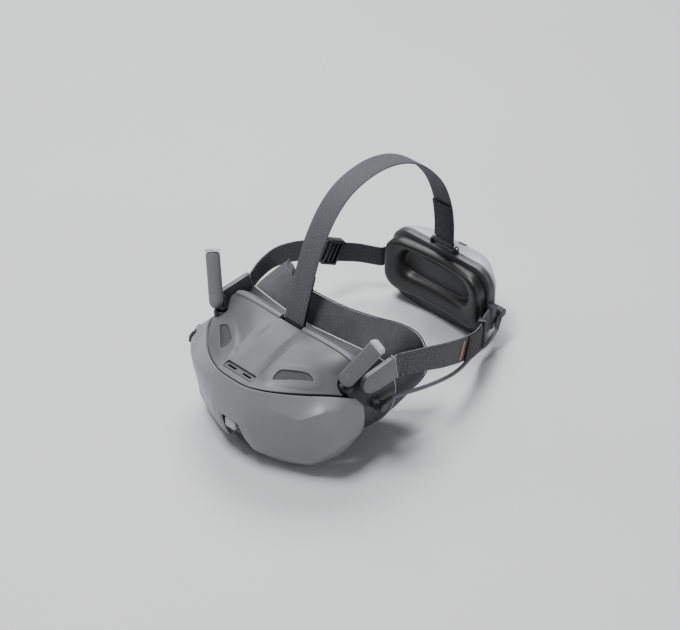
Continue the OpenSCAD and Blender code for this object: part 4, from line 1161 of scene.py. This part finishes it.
# Four charge lights beside the power button: small lenses in the cover's crown, and a button in a thin rim.
button_rim = turned("power_button_rim", [(3.65, -0.6), (3.65, 0.5), (3.9, 0.9), (4.4, 0.75), (4.5, -0.4)],
                    button_at, crown_way)
finish(settle(face_outwards(button_rim, open_ends=True), 50), trim_abs, "goggles", "trim_plastic")
power_button = turned("power_button_cap", [(3.3, -2.4), (3.3, 0.6), (2.9, 1.0), (1.8, 0.85), (0, 0.8)],
                      button_at, crown_way)
finish(settle(power_button, 50), dark_abs, "power_button", "dark_plastic", "power_button")


def light_lens():
    """Clear polycarbonate over a light that is off: milky grey and glossy."""
    material, tree, shader, place = new_material("charge_light_lens")
    tint = two_tones(tree, noise(tree, place, 500.0), "#7f8285", "#9da0a3")
    add_node(tree, shader, {"Base Color": tint, "Roughness": 0.18, "IOR": 1.58})
    return material


lights = [settle(turned("light", [(0.75, 0), (0.75, 0.35), (0.5, 0.5), (0, 0.55)],
                        (13.5 + 3.2 * i, 134, 68.0), crown_way, 24), 50) for i in range(4)]
finish(join("charge_lights", *lights), light_lens(), "goggles", "light_plastic")

# ---- Bracket for the strap ----
# A small steel-pinned bracket that stands on top of the box and takes the end of the strap over the head.
bracket_cheeks = [settle(plate("bracket_cheek", rounded([(-3, 0), (3, 0), (3, 4.2), (1.2, 6), (-1.2, 6),
    (-3, 4.2)],
                                                       0.9), 2.6,
                               ((x, 117, box_high - 0.6), (0, 1, 0), (0, 0, 1), (1, 0, 0)), 0.4), 36)
                  for x in (-13.7, 11.1)]
finish(join("strap_bracket_cheeks", *bracket_cheeks), dark_abs, "goggles", "dark_plastic", "strap_bracket")
bracket_pin = turned("strap_bracket_pin", [(1.2, 0), (1.2, 28)], (-14, 117, box_high + 4), (1, 0, 0), 32)
finish(settle(round_edges(bracket_pin, 0.35)), steel, "goggles", "steel")


# ---- Head cushion ----
# A thick pad of moulded foam with a soft black skin: hollowed to the back of the head, full at its edges,
# with a smooth-lipped opening in which the frame's flat plate shows.
def soft_skin():
    """Soft-touch polyurethane skin: near black, with a broad dull sheen and a leather-like grain."""
    material, tree, shader, place = new_material("soft_touch_skin")
    grain = add_node(tree, "ShaderNodeTexVoronoi", {"Vector": (place, "Object"), "Scale": 1700.0})
    haze = noise(tree, place, 35.0, 4.0)
    add_node(tree, shader, {
        "Base Color": two_tones(tree, haze, "#101011", "#1b1b1c"), "Roughness": spread(tree, haze, 0.36, 0.5),
        "Normal": relief(tree, (grain, "Distance"), 0.12, 0.0002), "IOR": 1.48, "Specular IOR Level": 0.55})
    return material


def head_curve(depth):
    """The hollow front of the pad, moved back by a depth but never past the plate."""
    return lambda x: min(-92.6 + math.sqrt(196.6 ** 2 - min(abs(x), 60) ** 2) + depth, 111.2)


pad_sections = (
    (102, 15, 67, 15, 111.8), (104.2, 14, 68, 16, 110.8), (105, 13.6, 68.4, 16.4, head_curve(7)),
    (104.6, 13.8, 68.2, 16.2, head_curve(3.4)), (102, 15.2, 67, 15.6, head_curve(1.0)),
    (97.5, 17.6, 65.4, 15, head_curve(0)), (92, 21, 64, 14.4, head_curve(0)), (87, 25.5, 63, 14,
        head_curve(0.1)),
    (82.5, 29.4, 62, 13.6, head_curve(0.8)), (79, 31.8, 60.8, 13.2, head_curve(2.4)),
    (76.4, 33.4, 59.4, 12.8, head_curve(5)), (74.5, 34.4, 58.4, 12.4, head_curve(9)),
        (71, 35.4, 57.4, 11, 111.2),
    (66, 37, 56, 9, 111.4))
pad_rings = [box_ring(wide, low, high, radius, depth) for wide, low, high, radius, depth in pad_sections]
pad_rings = [resample(ring, 96) for ring in pad_rings]
head_cushion = loft("head_cushion_skin", pad_rings)
modify(head_cushion, "SUBSURF", levels=1, render_levels=1)
settle(head_cushion, 60)
finish(head_cushion, soft_skin(), "goggles", "skin_foam", "head_cushion")
window = settle(plate("battery_plate", rounded([(-25, -9.5), (27, -9.5), (27, 9.5), (-25, 9.5)], 5), 0.7,
                      ((5, 110.6, 46.3), (1, 0, 0), (0, 0, 1), (0, 1, 0)), 0.2), 36)
finish(window, moulded("plate_moulded_abs", "#2a2b2d", 0.5), "goggles", "dark_plastic")

# ---- Underside ----
# Two dark ABS panels under the cheeks, with a slot for each focus knob and countersunk screws.
bottom_rows = (
    ((19, -104, 3.2), (29, -106.5, 3.6), (43, -98.5, 3.2), (53, -92, 4.6), (61, -85.5, 9.5),
        (66.5, -80.5, 16)),
    ((19.6, -92, 3.4), (29, -93, 3.2), (42, -88, 3.4), (51, -84, 4.8), (59.5, -79.5, 9.6), (65.5, -77, 16)),
    ((19.2, -79, 15), (28, -79, 6.6), (42, -79, 5.6), (51, -78.6, 7), (59.5, -78.2, 11), (66, -78, 17)))
eye_span, eye_high, knob_y, knob_radius = 64, 55, -85, 6.5
slot_half = 4.0
screw_spots = ((23, -98, 3.4), (50, -88, 4))
bottom_panels = []
for side in (-1, 1):
    rows = [spline(vectors(*row), 5) for row in bottom_rows]
    columns = [spline([row[c] for row in rows], 6) for c in range(len(rows[0]))]
    grid = [[column[r] for column in columns] for r in range(len(columns[0]))]
    panel = settle(skin("bottom_panel", grid, wall, 1, 0.4))
    knob_slot = [p + Vector((slot_half, 0)) for p in arc((0, 0), knob_radius + 0.6, -90, 90, 16)]
    knob_slot += [p - Vector((slot_half, 0)) for p in arc((0, 0), knob_radius + 0.6, 90, 270, 16)]
    cutters = [plate("slot_cutter", knob_slot, 40, ((eye_span / 2, knob_y, -10), *upright), 0)]
    cutters += [turned("screw_cutter", [(1.9, 0), (1.9, 30)], (x, y, -10), (0, 0, 1), 24)
                for x, y, _ in screw_spots]
    cut(panel, *cutters)
    settle(round_edges(panel, 0.25, 2, 50), 34)
    bottom_panels.append(mirrored_piece(panel, side))
finish(join("bottom_panels", *bottom_panels), dark_abs, "goggles", "dark_plastic", "bottom_shell")
screws = []
for side in (-1, 1):
    for x, y, z in screw_spots:
        head = turned("screw", [(0.7, 0.9), (0.9, 0.35), (1.2, 0.05), (1.7, 0), (1.8, 0.5), (1.8, 4.5)],
                      (side * x, y, z), (0, 0, 1), 32)
        screws.append(settle(head, 40))
finish(join("case_screws_heads", *screws), steel, "goggles", "steel", "case_screws")

# ---- Optics ----
# Inside: a plate across the frame, and for each eye a carriage on two steel rails with a barrel, a rubber
# ring, a coated lens that moves to focus, a display behind it, and a fluted knob below.
lens_data = ((0, -2.6), (6, -2.2), (11, -1.2), (15.9, 0.6), (15.9, 4), (11, 5.6), (6, 6.6), (0, 7))


def coated_glass():
    """Ground glass with a bloom: its faint violet reflection is painted into the colour, stronger at grazing
    angles.
    """
    material, tree, shader, place = new_material("coated_glass")
    grazing_reflection = add_node(tree, "ShaderNodeLayerWeight", {"Blend": 0.35})
    # The violet towards grazing angles is the coating's reflection, painted into the base colour.
    add_node(tree, shader, {
        "Base Color": two_tones(tree, (grazing_reflection, "Facing"), "#0c1018", "#3a2f55"), "IOR": 1.6,
        "Roughness": spread(tree, noise(tree, place, 60.0), 0.02, 0.06),
        "Coat Weight": 0.6, "Coat Roughness": 0.03})
    return material


glass = coated_glass()
grip_rubber = rubber("eyecup_rubber", "#1a1b1d", 0.6, 0.5)
fluted = rubber("fluted_knob_rubber", "#202124", 0.5, 0.5)
for side, name in ((-1, "left"), (1, "right")):
    middle = side * eye_span / 2
    face = spline(vectors(*[(r, h, 0) for r, h in lens_data[:4]]), 6)
    back_face = spline(vectors(*[(r, h, 0) for r, h in lens_data[4:]]), 6)
    profile = [(p.x, p.y) for p in face] + [(p.x, p.y) for p in back_face]
    lens = turned(f"lens_glass_{name}", profile, (middle, -70, eye_high), (0, -1, 0), 64)
    settle(lens, 40)
    finish(lens, glass, f"lens_{name}", "lens_glass", f"lens_{name}")
    cup = turned(f"eyecup_{name}", [(16.6, -1.4), (17.4, -0.2), (18.9, 0.3), (19.4, 1.3), (18.9, 2.4),
        (18.05, 2.8),
                                    (18.05, 1.0), (16.6, 0.4)], (middle, -63.2, eye_high), (0, -1, 0), 64)
    face_outwards(cup, open_ends=True)
    finish(settle(cup, 50), grip_rubber, f"carriage_{name}", "dark_plastic")
    core = [(6.3, 0), (6.5, 0.3), (6.5, 5.6), (6.2, 6), (2.1, 6.2), (2, 7), (2, 35.0)]
    knob = turned(f"focus_knob_{name}_body", core, (middle, knob_y, 0.8), (0, 0, 1), 72)
    for v in knob.data.vertices:
        away = Vector((1000 * v.co.x - middle, 1000 * v.co.y - knob_y))
        if away.length > 6.0:
            dip = 0.35 * (0.5 + 0.5 * math.cos(18 * math.atan2(away.y, away.x)))
            v.co.x -= 0.001 * dip * away.x / away.length
            v.co.y -= 0.001 * dip * away.y / away.length
    finish(settle(knob, 50), fluted, f"focus_knob_{name}", "dark_plastic", f"focus_knob_{name}")


# ---- Inner parts that keep their plain solids ----
# The boards, the fan, the rails and the cells are inside the shells, so they keep the shapes of the frame.
def solder_mask():
    """Green solder mask over copper: glossy, with the tracks showing through as faint lines."""
    material, tree, shader, place = new_material("green_solder_mask")
    tracks = add_node(tree, "ShaderNodeTexBrick", {"Vector": (place, "Object"), "Scale": 160.0,
                                                   "Color1": linear("#0d3d22"), "Color2": linear("#12492a"),
                                                   "Mortar": linear("#1c6238"), "Mortar Size": 0.03})
    add_node(tree, shader, {"Base Color": (tracks, "Color"), "Roughness": 0.3, "IOR": 1.5})
    return material


def shrink_wrap():
    """Blue PVC shrink wrap on the cells: glossy and slightly rippled."""
    material, tree, shader, place = new_material("blue_shrink_wrap")
    ripple = relief(tree, noise(tree, place, 120.0), 0.2, 0.0004)
    add_node(tree, shader, {"Base Color": linear("#27528f"), "Roughness": 0.28, "Normal": ripple})
    return material


mask, wrap = solder_mask(), shrink_wrap()
aluminium = polished_steel("extruded_aluminium", "#b4b6b9", 0.4)
inner_finishes = {
    "optics_plate": dark_abs, "carriage_left": dark_abs, "carriage_right": dark_abs, "display_left": glass,
    "display_right": glass, "carriage_rails": steel, "main_board": mask, "heat_sink": aluminium,
    "fan_housing": dark_abs, "fan_rotor": frame_abs, "power_jack": dark_abs, "stick_gimbal": dark_abs,
    "stick_yoke": steel, "battery_cells": wrap, "battery_board": mask, "lead_socket": dark_abs}
for node_name, material in inner_finishes.items():
    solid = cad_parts[node_name]
    solid.data.materials.clear()
    solid.data.materials.append(material)
